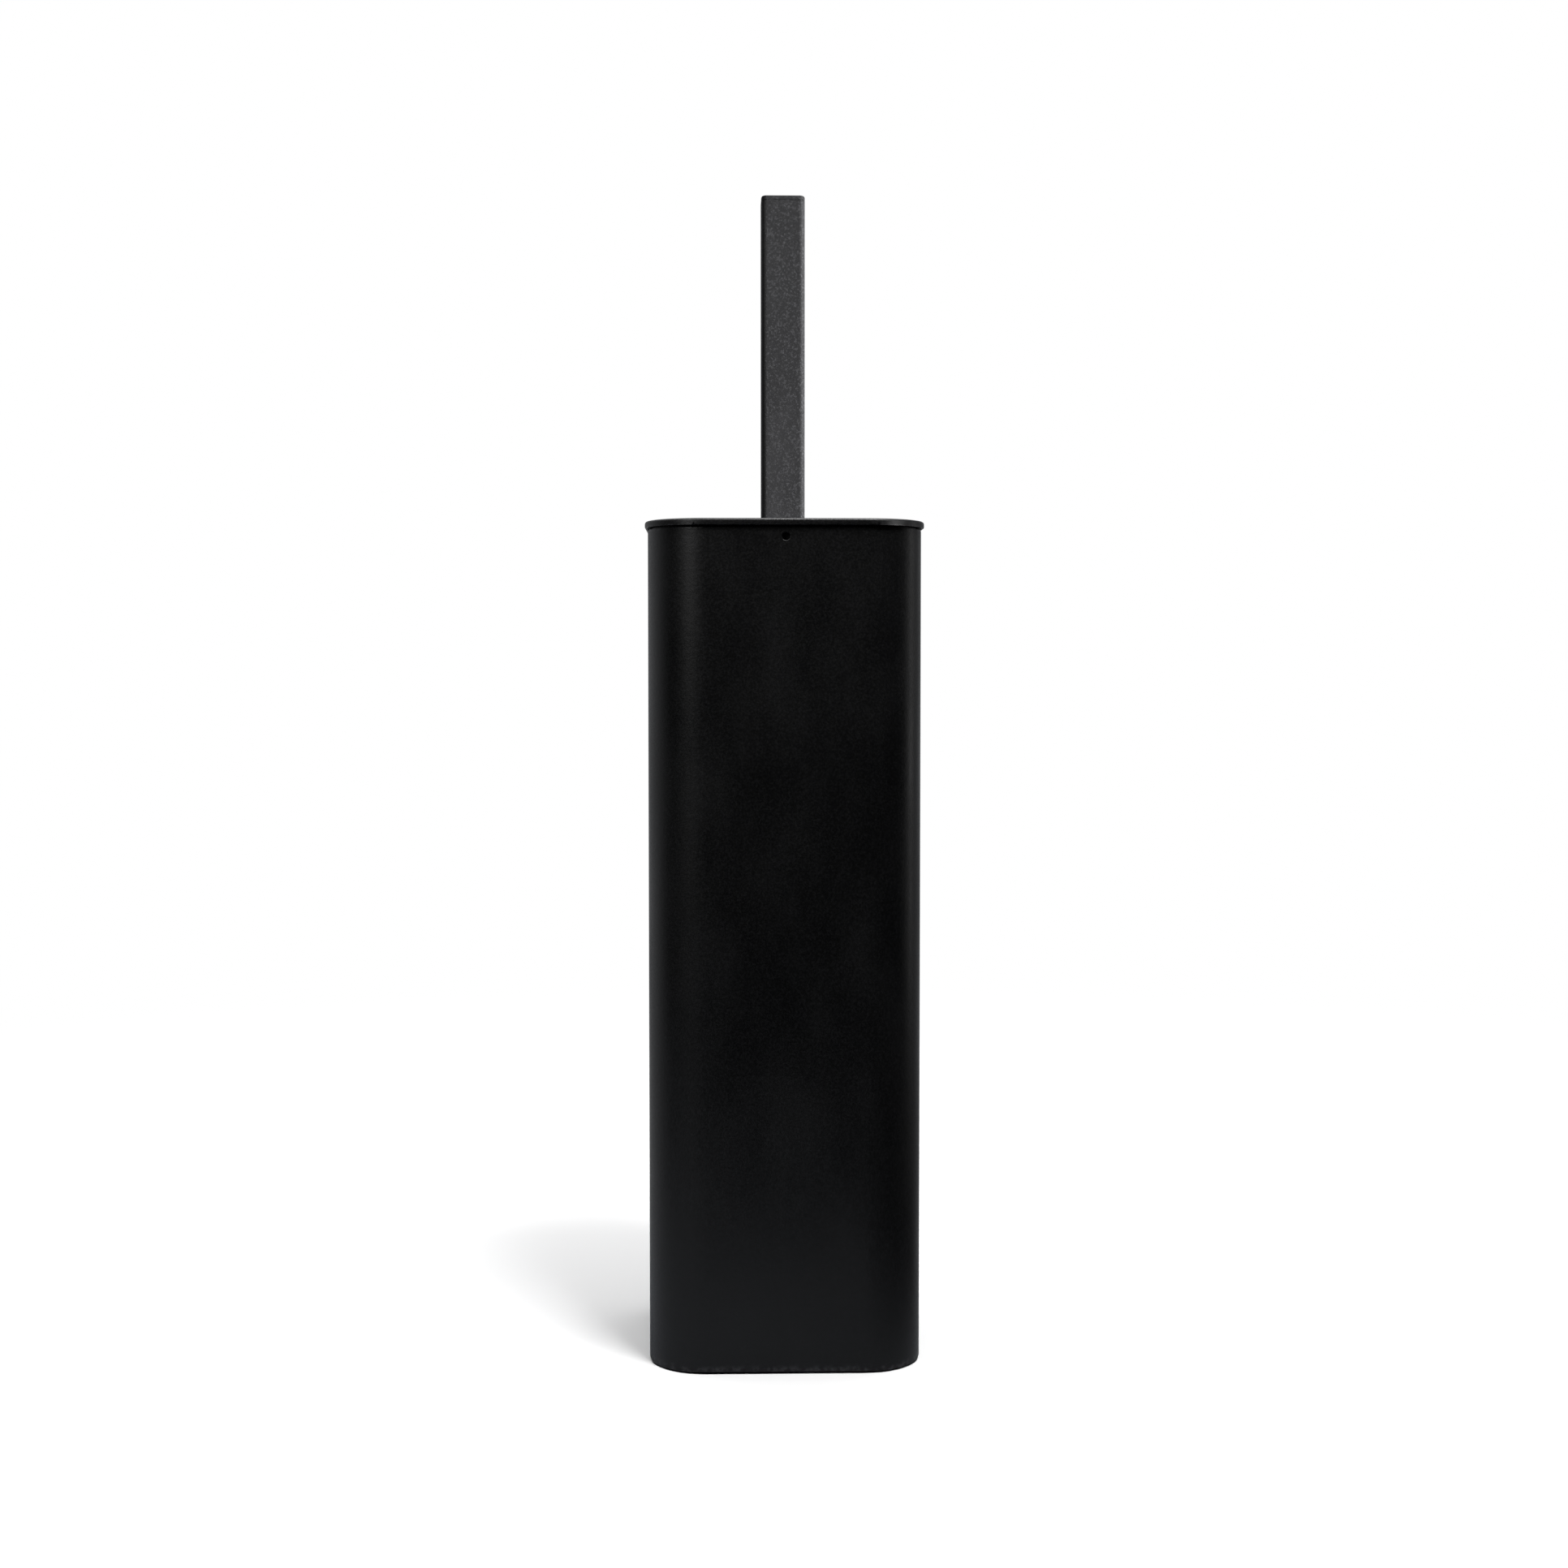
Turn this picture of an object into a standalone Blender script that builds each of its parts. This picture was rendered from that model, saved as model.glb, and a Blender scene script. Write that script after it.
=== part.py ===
"""Free-standing toilet brush holder: a square steel canister, a lift-out bucket, and a brush that carries the lid.

Metres, +Z up. The origin is on the floor under the middle of the canister, whose front faces -Y.
"""

import math

import bmesh
import bpy

# ---- Driving dimensions, in metres ----

# Canister: a tube of sheet steel with rounded corners
SHELL_WIDTH = 0.0920
SHELL_RADIUS = 0.0200
SHELL_WALL = 0.0008
SHELL_HEIGHT = 0.2809
SHELL_LIFT = 0.0006
SHELL_EDGE = 0.0002
VENT_DIAMETER = 0.0026
VENT_DROP = 0.0030

# Tray that closes the canister's bottom, and the pads it stands on
TRAY_RECESS = 0.0004
TRAY_FLOOR = 0.0020
TRAY_WALL = 0.0016
TRAY_HEIGHT = 0.0140
PAD_DIAMETER = 0.0120
PAD_THICKNESS = 0.0015
PAD_EDGE = 0.0003
PAD_INSET = 0.0180

# Bucket that lifts out of the canister
BUCKET_WALL = 0.0016
BUCKET_FLOOR = 0.0020
BUCKET_FOOT_PLAY = 0.0010
BUCKET_TOP_PLAY = 0.0014
RIM_PLAY = 0.0005
RIM_THICKNESS = 0.0016
RIM_DROP = 0.0005

# Lid: a shallow steel pan, and the plastic insert that centres it in the bucket
LID_OVERHANG = 0.0010
LID_GAP = 0.0007
LID_HEIGHT = 0.0022
LID_SHEET = 0.0008
LID_EDGE = 0.0006
INSERT_LEDGE = 0.0015
INSERT_PLAY = 0.0006
INSERT_SKIRT = 0.0063
INSERT_WALL = 0.0016

# Handle: a square tube with a cap at its top and a threaded socket in its foot
HANDLE_WIDTH = 0.0150
HANDLE_RADIUS = 0.0019
HANDLE_WALL = 0.0012
HANDLE_HEIGHT = 0.1131
HANDLE_EDGE = 0.0002
CAP_FLANGE = 0.0013
CAP_EDGE = 0.0008
CAP_PLUG = 0.0080
CAP_PLUG_WALL = 0.0014
SOCKET_LENGTH = 0.0240

# Rod, and the washer and nut that clamp the lid under the handle
ROD_DIAMETER = 0.0080
STUD_DIAMETER = 0.0060
UPPER_STUD_REACH = 0.0180
LOWER_STUD_REACH = 0.0098
STUD_CHAMFER = 0.0006
WASHER_DIAMETER = 0.0160
WASHER_THICKNESS = 0.0012
NUT_WIDTH = 0.0100
NUT_HEIGHT = 0.0050
NECK_WASHER_THICKNESS = 0.0010

# Brush head
HEAD_FLOOR_GAP = 0.0185
HEAD_PLAY = 0.0042
CORE_DIAMETER = 0.0220
NECK_DIAMETER = 0.0140
NECK_LENGTH = 0.0130
NECK_SLOPE = 0.0030
TIP_HEIGHT = 0.0200
TIP_RIM = 0.0050
TIP_COVER = 0.0110
ROW_COUNT = 6
ROW_PITCH = 0.0115
ROW_THICKNESS = 0.0090
ROW_EDGE = 0.0012

# Gap that seated and mating pieces keep to each other
FIT = 0.0003

# Facets: a rounded corner of the canister, of the handle, and a full turn of small and large round pieces
CORNER_STEPS = 12
BAR_CORNER_STEPS = 5
SMALL_TURN_STEPS = 32
LARGE_TURN_STEPS = 48
EDGE_STEPS = 3
DOME_STEPS = 8
MERGE_DISTANCE = 0.00001
SHARP_ANGLE = math.radians(40)

# ---- Heights and widths that follow from them ----

SHELL_TOP = SHELL_LIFT + SHELL_HEIGHT
SHELL_INSIDE = SHELL_WIDTH - 2 * SHELL_WALL
TRAY_BOTTOM = SHELL_LIFT + TRAY_RECESS
TRAY_WIDTH = SHELL_INSIDE - 2 * FIT
TRAY_RADIUS = SHELL_RADIUS - SHELL_WALL - FIT
PAD_OFFSET = TRAY_WIDTH / 2 - PAD_INSET

BUCKET_BOTTOM = TRAY_BOTTOM + TRAY_FLOOR + FIT
BUCKET_TOP = SHELL_TOP - RIM_DROP
BUCKET_HEIGHT = BUCKET_TOP - BUCKET_BOTTOM
BUCKET_RIM_WIDTH = SHELL_INSIDE - 2 * RIM_PLAY
BUCKET_TOP_WIDTH = SHELL_INSIDE - 2 * BUCKET_TOP_PLAY
BUCKET_FOOT_WIDTH = TRAY_WIDTH - 2 * TRAY_WALL - 2 * BUCKET_FOOT_PLAY
BUCKET_DRAFT = BUCKET_FOOT_WIDTH / BUCKET_TOP_WIDTH

LID_BOTTOM = SHELL_TOP + LID_GAP
LID_TOP = LID_BOTTOM + LID_HEIGHT
LID_WIDTH = SHELL_WIDTH + 2 * LID_OVERHANG
LID_RADIUS = SHELL_RADIUS + LID_OVERHANG
LID_CEILING = LID_TOP - LID_SHEET
INSERT_BOTTOM = BUCKET_TOP + FIT

HANDLE_BOTTOM = LID_TOP + FIT
HANDLE_TOP = LID_TOP + HANDLE_HEIGHT
CAP_BOTTOM = HANDLE_TOP - CAP_FLANGE
HANDLE_INSIDE = HANDLE_WIDTH - 2 * HANDLE_WALL

WASHER_TOP = INSERT_BOTTOM - FIT
NUT_TOP = WASHER_TOP - WASHER_THICKNESS - FIT
NUT_BOTTOM = NUT_TOP - NUT_HEIGHT
STUD_TOP = HANDLE_BOTTOM + UPPER_STUD_REACH
STUD_BORE = STUD_DIAMETER + 2 * FIT

HEAD_BOTTOM = BUCKET_BOTTOM + BUCKET_FLOOR + HEAD_FLOOR_GAP
HEAD_RADIUS = BUCKET_FOOT_WIDTH / 2 - BUCKET_WALL - HEAD_PLAY
TIP_TOP = HEAD_BOTTOM + TIP_HEIGHT
CORE_BOTTOM = HEAD_BOTTOM + TIP_COVER
CORE_SHOULDER = TIP_TOP + ROW_COUNT * ROW_PITCH
NECK_TOP = CORE_SHOULDER + NECK_LENGTH
NECK_WASHER_BOTTOM = NECK_TOP + FIT
ROD_BOTTOM = NECK_WASHER_BOTTOM + NECK_WASHER_THICKNESS + FIT
STUD_BOTTOM = NECK_TOP - LOWER_STUD_REACH


# ---- Scene, materials and axes ----


def clear_scene():
    for obj in list(bpy.data.objects):
        bpy.data.objects.remove(obj, do_unlink=True)


def new_collection(name):
    collection = bpy.data.collections.new(name)
    bpy.context.scene.collection.children.link(collection)
    return collection


def new_material(name, color, roughness, metallic=0.0):
    material = bpy.data.materials.new(name)
    material.use_nodes = True
    shader = material.node_tree.nodes["Principled BSDF"]
    shader.inputs["Base Color"].default_value = (*color, 1.0)
    shader.inputs["Roughness"].default_value = roughness
    shader.inputs["Metallic"].default_value = metallic
    return material


def new_axis(name, height, parent=None):
    """An empty on the vertical axis of the object, which what moves together is parented to."""
    axis = bpy.data.objects.new(name, None)
    PARTS.objects.link(axis)
    axis.parent = parent
    axis.location.z = height - height_of(parent)
    return axis


def height_of(axis):
    """World height of an axis, which is the sum of the heights down its chain of parents."""
    height = 0.0
    while axis is not None:
        height += axis.location.z
        axis = axis.parent
    return height


def new_part(name, bm, material, height, parent=None, at=(0.0, 0.0)):
    """Makes a named object of a bmesh whose own origin goes to this place."""
    mesh = bpy.data.meshes.new(name)
    bm.to_mesh(mesh)
    bm.free()
    mesh.materials.append(material)
    mesh.shade_smooth()
    mesh.set_sharp_from_angle(angle=SHARP_ANGLE)
    part = bpy.data.objects.new(name, mesh)
    PARTS.objects.link(part)
    part.parent = parent
    part.location = (at[0], at[1], height - height_of(parent))
    return part


# ---- Shapes ----


def end_face(bm, up):
    """The largest face that looks straight up, or straight down."""
    facing = [face for face in bm.faces if face.normal.z * up > 0.99]
    return max(facing, key=lambda face: face.calc_area())


def rounded_box(width, radius, height, steps):
    """A square prism with rounded upright edges, its foot at height 0."""
    bm = bmesh.new()
    bmesh.ops.create_cube(bm, size=1.0)
    bmesh.ops.translate(bm, vec=(0.0, 0.0, 0.5), verts=bm.verts)
    bmesh.ops.scale(bm, vec=(width, width, height), verts=bm.verts)
    upright = [edge for edge in bm.edges if abs(edge.verts[0].co.z - edge.verts[1].co.z) > height / 2]
    bmesh.ops.bevel(bm, geom=upright, offset=radius, segments=steps, profile=0.5, affect="EDGES")
    bm.normal_update()
    return bm


def round_rim(bm, face, radius):
    """Rounds the edges around a flat face."""
    bmesh.ops.bevel(bm, geom=list(face.edges), offset=radius, segments=EDGE_STEPS, profile=0.5, affect="EDGES")
    bm.normal_update()


def step_face(bm, face, inset=0.0, rise=0.0, taper=1.0):
    """Insets a level face, draws what is left of it up or down, tapers its outline, and returns it."""
    if inset:
        bmesh.ops.inset_region(bm, faces=[face], thickness=inset, use_even_offset=True, use_boundary=True)
    drawn = bmesh.ops.extrude_discrete_faces(bm, faces=[face])["faces"][0]
    bmesh.ops.scale(bm, vec=(taper, taper, 1.0), verts=drawn.verts)
    bmesh.ops.translate(bm, vec=(0.0, 0.0, rise), verts=drawn.verts)
    bm.normal_update()
    return drawn


def open_ends(bm):
    """Takes both level faces off a prism, which leaves an open sleeve."""
    bmesh.ops.delete(bm, geom=[end_face(bm, 1), end_face(bm, -1)], context="FACES_ONLY")


def add_wall(part, thickness, edge):
    """Gives a sleeve its wall, inwards from the outside it was drawn at, and breaks its sharp edges."""
    wall = part.modifiers.new("Wall", "SOLIDIFY")
    wall.thickness = thickness
    wall.offset = -1.0
    wall.use_even_offset = True
    rounding = part.modifiers.new("Edges", "BEVEL")
    rounding.width = edge
    rounding.segments = 2
    rounding.limit_method = "ANGLE"
    rounding.angle_limit = math.radians(60)


def turned(name, profile, material, height, parent=None, at=(0.0, 0.0), steps=SMALL_TURN_STEPS, closed=False):
    """Turns a profile of (radius, height) points about the vertical axis. It runs down its outer side."""
    bm = bmesh.new()
    points = [bm.verts.new((radius, 0.0, z)) for radius, z in profile]
    for first, second in zip(points, points[1:]):
        bm.edges.new((first, second))
    if closed:
        bm.edges.new((points[-1], points[0]))
    part = new_part(name, bm, material, height, parent, at)
    turn = part.modifiers.new("Turn", "SCREW")
    turn.axis = "Z"
    turn.steps = steps
    turn.render_steps = steps
    turn.use_merge_vertices = True
    turn.merge_threshold = MERGE_DISTANCE
    return part


def ring(name, outer, inner, thickness, material, height, parent=None, edge=0.0, steps=SMALL_TURN_STEPS):
    """A flat ring, such as a washer, with its outer edges chamfered."""
    profile = [(inner, thickness)]
    if edge:
        profile += [(outer - edge, thickness), (outer, thickness - edge), (outer, edge), (outer - edge, 0.0)]
    else:
        profile += [(outer, thickness), (outer, 0.0)]
    profile.append((inner, 0.0))
    return turned(name, profile, material, height, parent, steps=steps, closed=True)


def cut(part, cutter):
    boolean = part.modifiers.new("Cut " + cutter.name, "BOOLEAN")
    boolean.operation = "DIFFERENCE"
    boolean.solver = "EXACT"
    boolean.object = cutter


def round_cutter(name, diameter, length, place, lying=False, steps=SMALL_TURN_STEPS):
    """A round rod centred on a place, which stands, or lies along Y."""
    bm = bmesh.new()
    bmesh.ops.create_cone(
        bm, cap_ends=True, segments=steps, radius1=diameter / 2, radius2=diameter / 2, depth=length
    )
    mesh = bpy.data.meshes.new(name)
    bm.to_mesh(mesh)
    bm.free()
    cutter = bpy.data.objects.new(name, mesh)
    cutter.location = place
    cutter.rotation_euler.x = math.radians(90) if lying else 0.0
    cutter.hide_render = True
    cutter.display_type = "WIRE"
    CUTTERS.objects.link(cutter)
    return cutter


# ---- Holder: what stays on the floor ----


def make_canister_shell():
    bm = rounded_box(SHELL_WIDTH, SHELL_RADIUS, SHELL_HEIGHT, CORNER_STEPS)
    open_ends(bm)
    shell = new_part("canister_shell", bm, POWDER_COAT, SHELL_LIFT)
    add_wall(shell, SHELL_WALL, SHELL_EDGE)
    vent_place = (0.0, -SHELL_WIDTH / 2, SHELL_TOP - VENT_DROP)
    cut(shell, round_cutter("vent_cutter", VENT_DIAMETER, 6 * SHELL_WALL, vent_place, lying=True))


def pad_places():
    """The name and the place of each foot pad."""
    for depth_name, y in (("front", -PAD_OFFSET), ("back", PAD_OFFSET)):
        for side_name, x in (("left", -PAD_OFFSET), ("right", PAD_OFFSET)):
            yield depth_name + "_" + side_name, (x, y)


def make_base_tray():
    bm = rounded_box(TRAY_WIDTH, TRAY_RADIUS, TRAY_HEIGHT, CORNER_STEPS)
    step_face(bm, end_face(bm, 1), inset=TRAY_WALL, rise=TRAY_FLOOR - TRAY_HEIGHT)
    tray = new_part("base_tray", bm, MOULDED_PLASTIC, TRAY_BOTTOM)
    recess_length = 2 * (PAD_THICKNESS + FIT - TRAY_BOTTOM)
    for pad, (x, y) in pad_places():
        recess = round_cutter("recess_" + pad, PAD_DIAMETER + 2 * FIT, recess_length, (x, y, TRAY_BOTTOM))
        cut(tray, recess)


def make_foot_pads():
    radius = PAD_DIAMETER / 2
    profile = [
        (0.0, PAD_THICKNESS),
        (radius, PAD_THICKNESS),
        (radius, PAD_EDGE),
        (radius - PAD_EDGE, 0.0),
        (0.0, 0.0),
    ]
    for pad, place in pad_places():
        turned("foot_pad_" + pad, profile, PAD_RUBBER, 0.0, at=place)


# ---- Bucket ----


def make_inner_bucket(axis):
    """Drawn from its rim: down the outside to the foot, then down the inside to the floor."""
    lip = (BUCKET_RIM_WIDTH - BUCKET_TOP_WIDTH) / 2
    rim_radius = SHELL_RADIUS - SHELL_WALL - RIM_PLAY
    bm = rounded_box(BUCKET_RIM_WIDTH, rim_radius, RIM_THICKNESS, CORNER_STEPS)
    wall_height = BUCKET_HEIGHT - RIM_THICKNESS
    step_face(bm, end_face(bm, -1), inset=lip, rise=-wall_height, taper=BUCKET_DRAFT)
    depth = BUCKET_HEIGHT - BUCKET_FLOOR
    step_face(bm, end_face(bm, 1), inset=lip + BUCKET_WALL, rise=-depth, taper=BUCKET_DRAFT)
    new_part("inner_bucket", bm, BUCKET_PLASTIC, BUCKET_TOP - RIM_THICKNESS, axis)


# ---- Brush: lid, handle and rod ----


def make_lid_cap(axis, stud_cutter):
    bm = rounded_box(LID_WIDTH, LID_RADIUS, LID_HEIGHT, CORNER_STEPS)
    step_face(bm, end_face(bm, -1), inset=LID_SHEET, rise=LID_HEIGHT - LID_SHEET)
    round_rim(bm, end_face(bm, 1), LID_EDGE)
    lid = new_part("lid_cap", bm, POWDER_COAT, LID_BOTTOM, axis)
    cut(lid, stud_cutter)


def make_lid_insert(axis, stud_cutter):
    """A plate held in the lid's pan, a step that rests on the bucket's rim, and a skirt inside the rim."""
    plate_width = LID_WIDTH - 2 * LID_SHEET - 2 * FIT
    plate_radius = LID_RADIUS - LID_SHEET - FIT
    plate_top = LID_CEILING - FIT
    step_width = plate_width - 2 * INSERT_LEDGE
    skirt_width = BUCKET_TOP_WIDTH - 2 * BUCKET_WALL - 2 * INSERT_PLAY
    bm = rounded_box(plate_width, plate_radius, plate_top - LID_BOTTOM, CORNER_STEPS)
    face = step_face(bm, end_face(bm, -1), inset=INSERT_LEDGE, rise=INSERT_BOTTOM - LID_BOTTOM)
    face = step_face(bm, face, inset=(step_width - skirt_width) / 2, rise=-INSERT_SKIRT)
    step_face(bm, face, inset=INSERT_WALL, rise=INSERT_SKIRT)
    insert = new_part("lid_insert", bm, MOULDED_PLASTIC, LID_BOTTOM, axis)
    cut(insert, stud_cutter)


def make_clamp(axis, stud_cutter):
    """The washer and the hexagon nut that hold lid, insert and handle together on the rod's stud."""
    ring(
        "clamp_washer",
        WASHER_DIAMETER / 2,
        STUD_BORE / 2,
        WASHER_THICKNESS,
        STAINLESS_STEEL,
        WASHER_TOP - WASHER_THICKNESS,
        axis,
    )
    bm = bmesh.new()
    corner_radius = NUT_WIDTH / math.sqrt(3)
    bmesh.ops.create_cone(
        bm, cap_ends=True, segments=6, radius1=corner_radius, radius2=corner_radius, depth=NUT_HEIGHT
    )
    nut = new_part("clamp_nut", bm, STAINLESS_STEEL, NUT_BOTTOM + NUT_HEIGHT / 2, axis)
    cut(nut, stud_cutter)


def make_handle_tube(axis):
    length = CAP_BOTTOM - FIT - HANDLE_BOTTOM
    bm = rounded_box(HANDLE_WIDTH, HANDLE_RADIUS, length, BAR_CORNER_STEPS)
    open_ends(bm)
    tube = new_part("handle_tube", bm, HANDLE_COAT, HANDLE_BOTTOM, axis)
    add_wall(tube, HANDLE_WALL, HANDLE_EDGE)


def make_handle_end_cap(axis):
    """A flange as wide as the tube, and a hollow plug that is pressed into it."""
    bm = rounded_box(HANDLE_WIDTH, HANDLE_RADIUS, CAP_FLANGE, BAR_CORNER_STEPS)
    plug_width = HANDLE_INSIDE - 2 * FIT
    bore_width = plug_width - 2 * CAP_PLUG_WALL
    face = step_face(bm, end_face(bm, -1), taper=plug_width / HANDLE_WIDTH)
    face = step_face(bm, face, rise=-CAP_PLUG)
    face = step_face(bm, face, taper=bore_width / plug_width)
    step_face(bm, face, rise=CAP_PLUG)
    round_rim(bm, end_face(bm, 1), CAP_EDGE)
    new_part("handle_end_cap", bm, HANDLE_COAT, CAP_BOTTOM, axis)


def make_handle_socket(axis, stud_cutter):
    plug_width = HANDLE_INSIDE - 2 * FIT
    plug_radius = HANDLE_RADIUS * plug_width / HANDLE_WIDTH
    bm = rounded_box(plug_width, plug_radius, SOCKET_LENGTH, BAR_CORNER_STEPS)
    socket = new_part("handle_socket", bm, ALUMINIUM, HANDLE_BOTTOM, axis)
    cut(socket, stud_cutter)


def make_shaft_rod(axis):
    """A round rod with a stud at each end, one into the handle's socket and one into the head's neck."""
    rod = ROD_DIAMETER / 2
    stud = STUD_DIAMETER / 2
    rod_top = NUT_BOTTOM - FIT
    outline = [
        (0.0, STUD_TOP),
        (stud - STUD_CHAMFER, STUD_TOP),
        (stud, STUD_TOP - STUD_CHAMFER),
        (stud, rod_top),
        (rod, rod_top),
        (rod, ROD_BOTTOM),
        (stud, ROD_BOTTOM),
        (stud, STUD_BOTTOM + STUD_CHAMFER),
        (stud - STUD_CHAMFER, STUD_BOTTOM),
        (0.0, STUD_BOTTOM),
    ]
    profile = [(radius, z - STUD_BOTTOM) for radius, z in outline]
    turned("shaft_rod", profile, STAINLESS_STEEL, STUD_BOTTOM, axis)


# ---- Screw-on brush head ----


def make_neck_washer(axis):
    ring(
        "neck_washer",
        NECK_DIAMETER / 2 - FIT,
        STUD_BORE / 2,
        NECK_WASHER_THICKNESS,
        PAD_RUBBER,
        NECK_WASHER_BOTTOM,
        axis,
    )


def make_brush_core(axis):
    """A moulded spindle: a neck with a blind threaded hole, a tapered shoulder and a rounded end."""
    neck = NECK_DIAMETER / 2
    core = CORE_DIAMETER / 2
    end_round = core / 2
    outline = [
        (0.0, STUD_BOTTOM - FIT),
        (STUD_BORE / 2, STUD_BOTTOM - FIT),
        (STUD_BORE / 2, NECK_TOP),
        (neck, NECK_TOP),
        (neck, CORE_SHOULDER + NECK_SLOPE),
        (core, CORE_SHOULDER),
    ]
    for step in range(DOME_STEPS + 1):
        angle = math.radians(90) * step / DOME_STEPS
        radius = core - end_round * (1 - math.cos(angle))
        outline.append((radius, CORE_BOTTOM + end_round * (1 - math.sin(angle))))
    outline.append((0.0, CORE_BOTTOM))
    profile = [(radius, z - CORE_BOTTOM) for radius, z in outline]
    turned("brush_core", profile, BRUSH_PLASTIC, CORE_BOTTOM, axis)


def make_bristle_rows(axis):
    """Each row of tufts as one soft ring round the core."""
    for row in range(ROW_COUNT):
        ring(
            "bristle_row_" + str(row + 1),
            HEAD_RADIUS,
            CORE_DIAMETER / 2 + FIT,
            ROW_THICKNESS,
            BRISTLE,
            TIP_TOP + row * ROW_PITCH + (ROW_PITCH - ROW_THICKNESS) / 2,
            axis,
            edge=ROW_EDGE,
            steps=LARGE_TURN_STEPS,
        )


def make_bristle_tip(axis):
    """The tufts at the core's end as one soft dome, which the core's end stands in."""
    pocket = CORE_DIAMETER / 2 + FIT
    dome_height = TIP_HEIGHT - TIP_RIM
    profile = [
        (0.0, TIP_COVER - FIT),
        (pocket, TIP_COVER - FIT),
        (pocket, TIP_HEIGHT),
        (HEAD_RADIUS, TIP_HEIGHT),
    ]
    for step in range(DOME_STEPS):
        angle = math.radians(90) * step / DOME_STEPS
        profile.append((HEAD_RADIUS * math.cos(angle), dome_height * (1 - math.sin(angle))))
    profile.append((0.0, 0.0))
    turned("bristle_tip", profile, BRISTLE, HEAD_BOTTOM, axis, steps=LARGE_TURN_STEPS)


# ---- The whole object ----

clear_scene()
PARTS = new_collection("toilet_brush_holder")
CUTTERS = new_collection("cutters")

POWDER_COAT = new_material("matt_black_powder_coat", (0.012, 0.012, 0.013), 0.48)
HANDLE_COAT = new_material("handle_powder_coat", (0.035, 0.035, 0.036), 0.50)
MOULDED_PLASTIC = new_material("moulded_black_plastic", (0.010, 0.010, 0.010), 0.55)
BUCKET_PLASTIC = new_material("bucket_plastic", (0.020, 0.020, 0.022), 0.45)
PAD_RUBBER = new_material("pad_rubber", (0.030, 0.030, 0.030), 0.85)
STAINLESS_STEEL = new_material("stainless_steel", (0.62, 0.61, 0.59), 0.28, metallic=1.0)
ALUMINIUM = new_material("socket_aluminium", (0.70, 0.70, 0.71), 0.40, metallic=1.0)
BRUSH_PLASTIC = new_material("brush_core_plastic", (0.025, 0.025, 0.027), 0.50)
BRISTLE = new_material("bristle_nylon", (0.020, 0.020, 0.021), 0.60)

make_canister_shell()
make_base_tray()
make_foot_pads()

bucket_axis = new_axis("bucket_lift_axis", BUCKET_BOTTOM)
make_inner_bucket(bucket_axis)

brush_axis = new_axis("brush_lift_axis", INSERT_BOTTOM, bucket_axis)
stud_cutter_length = 3 * UPPER_STUD_REACH + LID_HEIGHT
stud_hole = round_cutter("stud_cutter", STUD_BORE, stud_cutter_length, (0.0, 0.0, HANDLE_BOTTOM))
make_lid_cap(brush_axis, stud_hole)
make_lid_insert(brush_axis, stud_hole)
make_clamp(brush_axis, stud_hole)
make_handle_tube(brush_axis)
make_handle_end_cap(brush_axis)
make_handle_socket(brush_axis, stud_hole)
make_shaft_rod(brush_axis)

neck_axis = new_axis("neck_slide_axis", NECK_WASHER_BOTTOM, brush_axis)
make_neck_washer(neck_axis)
head_axis = new_axis("head_screw_axis", NECK_TOP, neck_axis)
make_brush_core(head_axis)
make_bristle_rows(head_axis)
make_bristle_tip(head_axis)
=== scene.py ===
# %% [markdown]
# # A square toilet brush holder, piece by piece
# The object is a tall coated steel canister with a lift-out bucket. The brush stands in the bucket,
# and its square handle carries the lid. Every piece here is modelled round a fixed engineering frame:
# the frame says where each piece sits and which pieces move together, and this script gives them
# their finished shapes and surfaces. All lengths are in metres, so `MM` keeps the numbers readable.

import math
import random

import bmesh
import bpy
import numpy as np
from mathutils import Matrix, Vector


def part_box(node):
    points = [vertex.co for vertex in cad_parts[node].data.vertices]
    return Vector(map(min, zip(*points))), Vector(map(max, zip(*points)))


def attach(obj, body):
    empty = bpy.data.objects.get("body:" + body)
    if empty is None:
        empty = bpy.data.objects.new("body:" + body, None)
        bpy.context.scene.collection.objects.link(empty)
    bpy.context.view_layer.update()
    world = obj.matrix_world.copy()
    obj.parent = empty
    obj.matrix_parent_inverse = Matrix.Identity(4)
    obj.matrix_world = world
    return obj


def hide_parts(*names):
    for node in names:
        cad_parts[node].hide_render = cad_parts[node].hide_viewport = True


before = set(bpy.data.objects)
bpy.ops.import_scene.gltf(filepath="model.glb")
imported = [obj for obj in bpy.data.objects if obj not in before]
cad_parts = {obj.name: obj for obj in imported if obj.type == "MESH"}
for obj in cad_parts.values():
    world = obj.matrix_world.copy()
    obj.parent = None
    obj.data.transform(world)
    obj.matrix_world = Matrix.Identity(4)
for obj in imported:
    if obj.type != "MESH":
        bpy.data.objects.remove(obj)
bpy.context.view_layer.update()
MM = 0.001

# %% [markdown]
# ## Working by hand, in code
# An operator acts on whatever is selected. So every piece starts with nothing selected, and each step
# picks its faces or edges by where they are or which way they look, as the eye and the mouse would.

# %% Helpers for starting a piece and picking parts of it


def start_piece(name):
    """Names the primitive that was just added, fixes its place in its mesh, and opens it for editing."""
    piece = bpy.context.active_object
    piece.name = name
    piece.data.name = name
    bpy.ops.object.transform_apply(location=True, rotation=True, scale=True)
    bpy.ops.object.mode_set(mode="EDIT")
    return piece


def nothing_selected():
    """Leaves edit mode and lets go of everything."""
    if bpy.context.object and bpy.context.object.mode == "EDIT":
        bpy.ops.object.mode_set(mode="OBJECT")
    bpy.ops.object.select_all(action="DESELECT")


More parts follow.
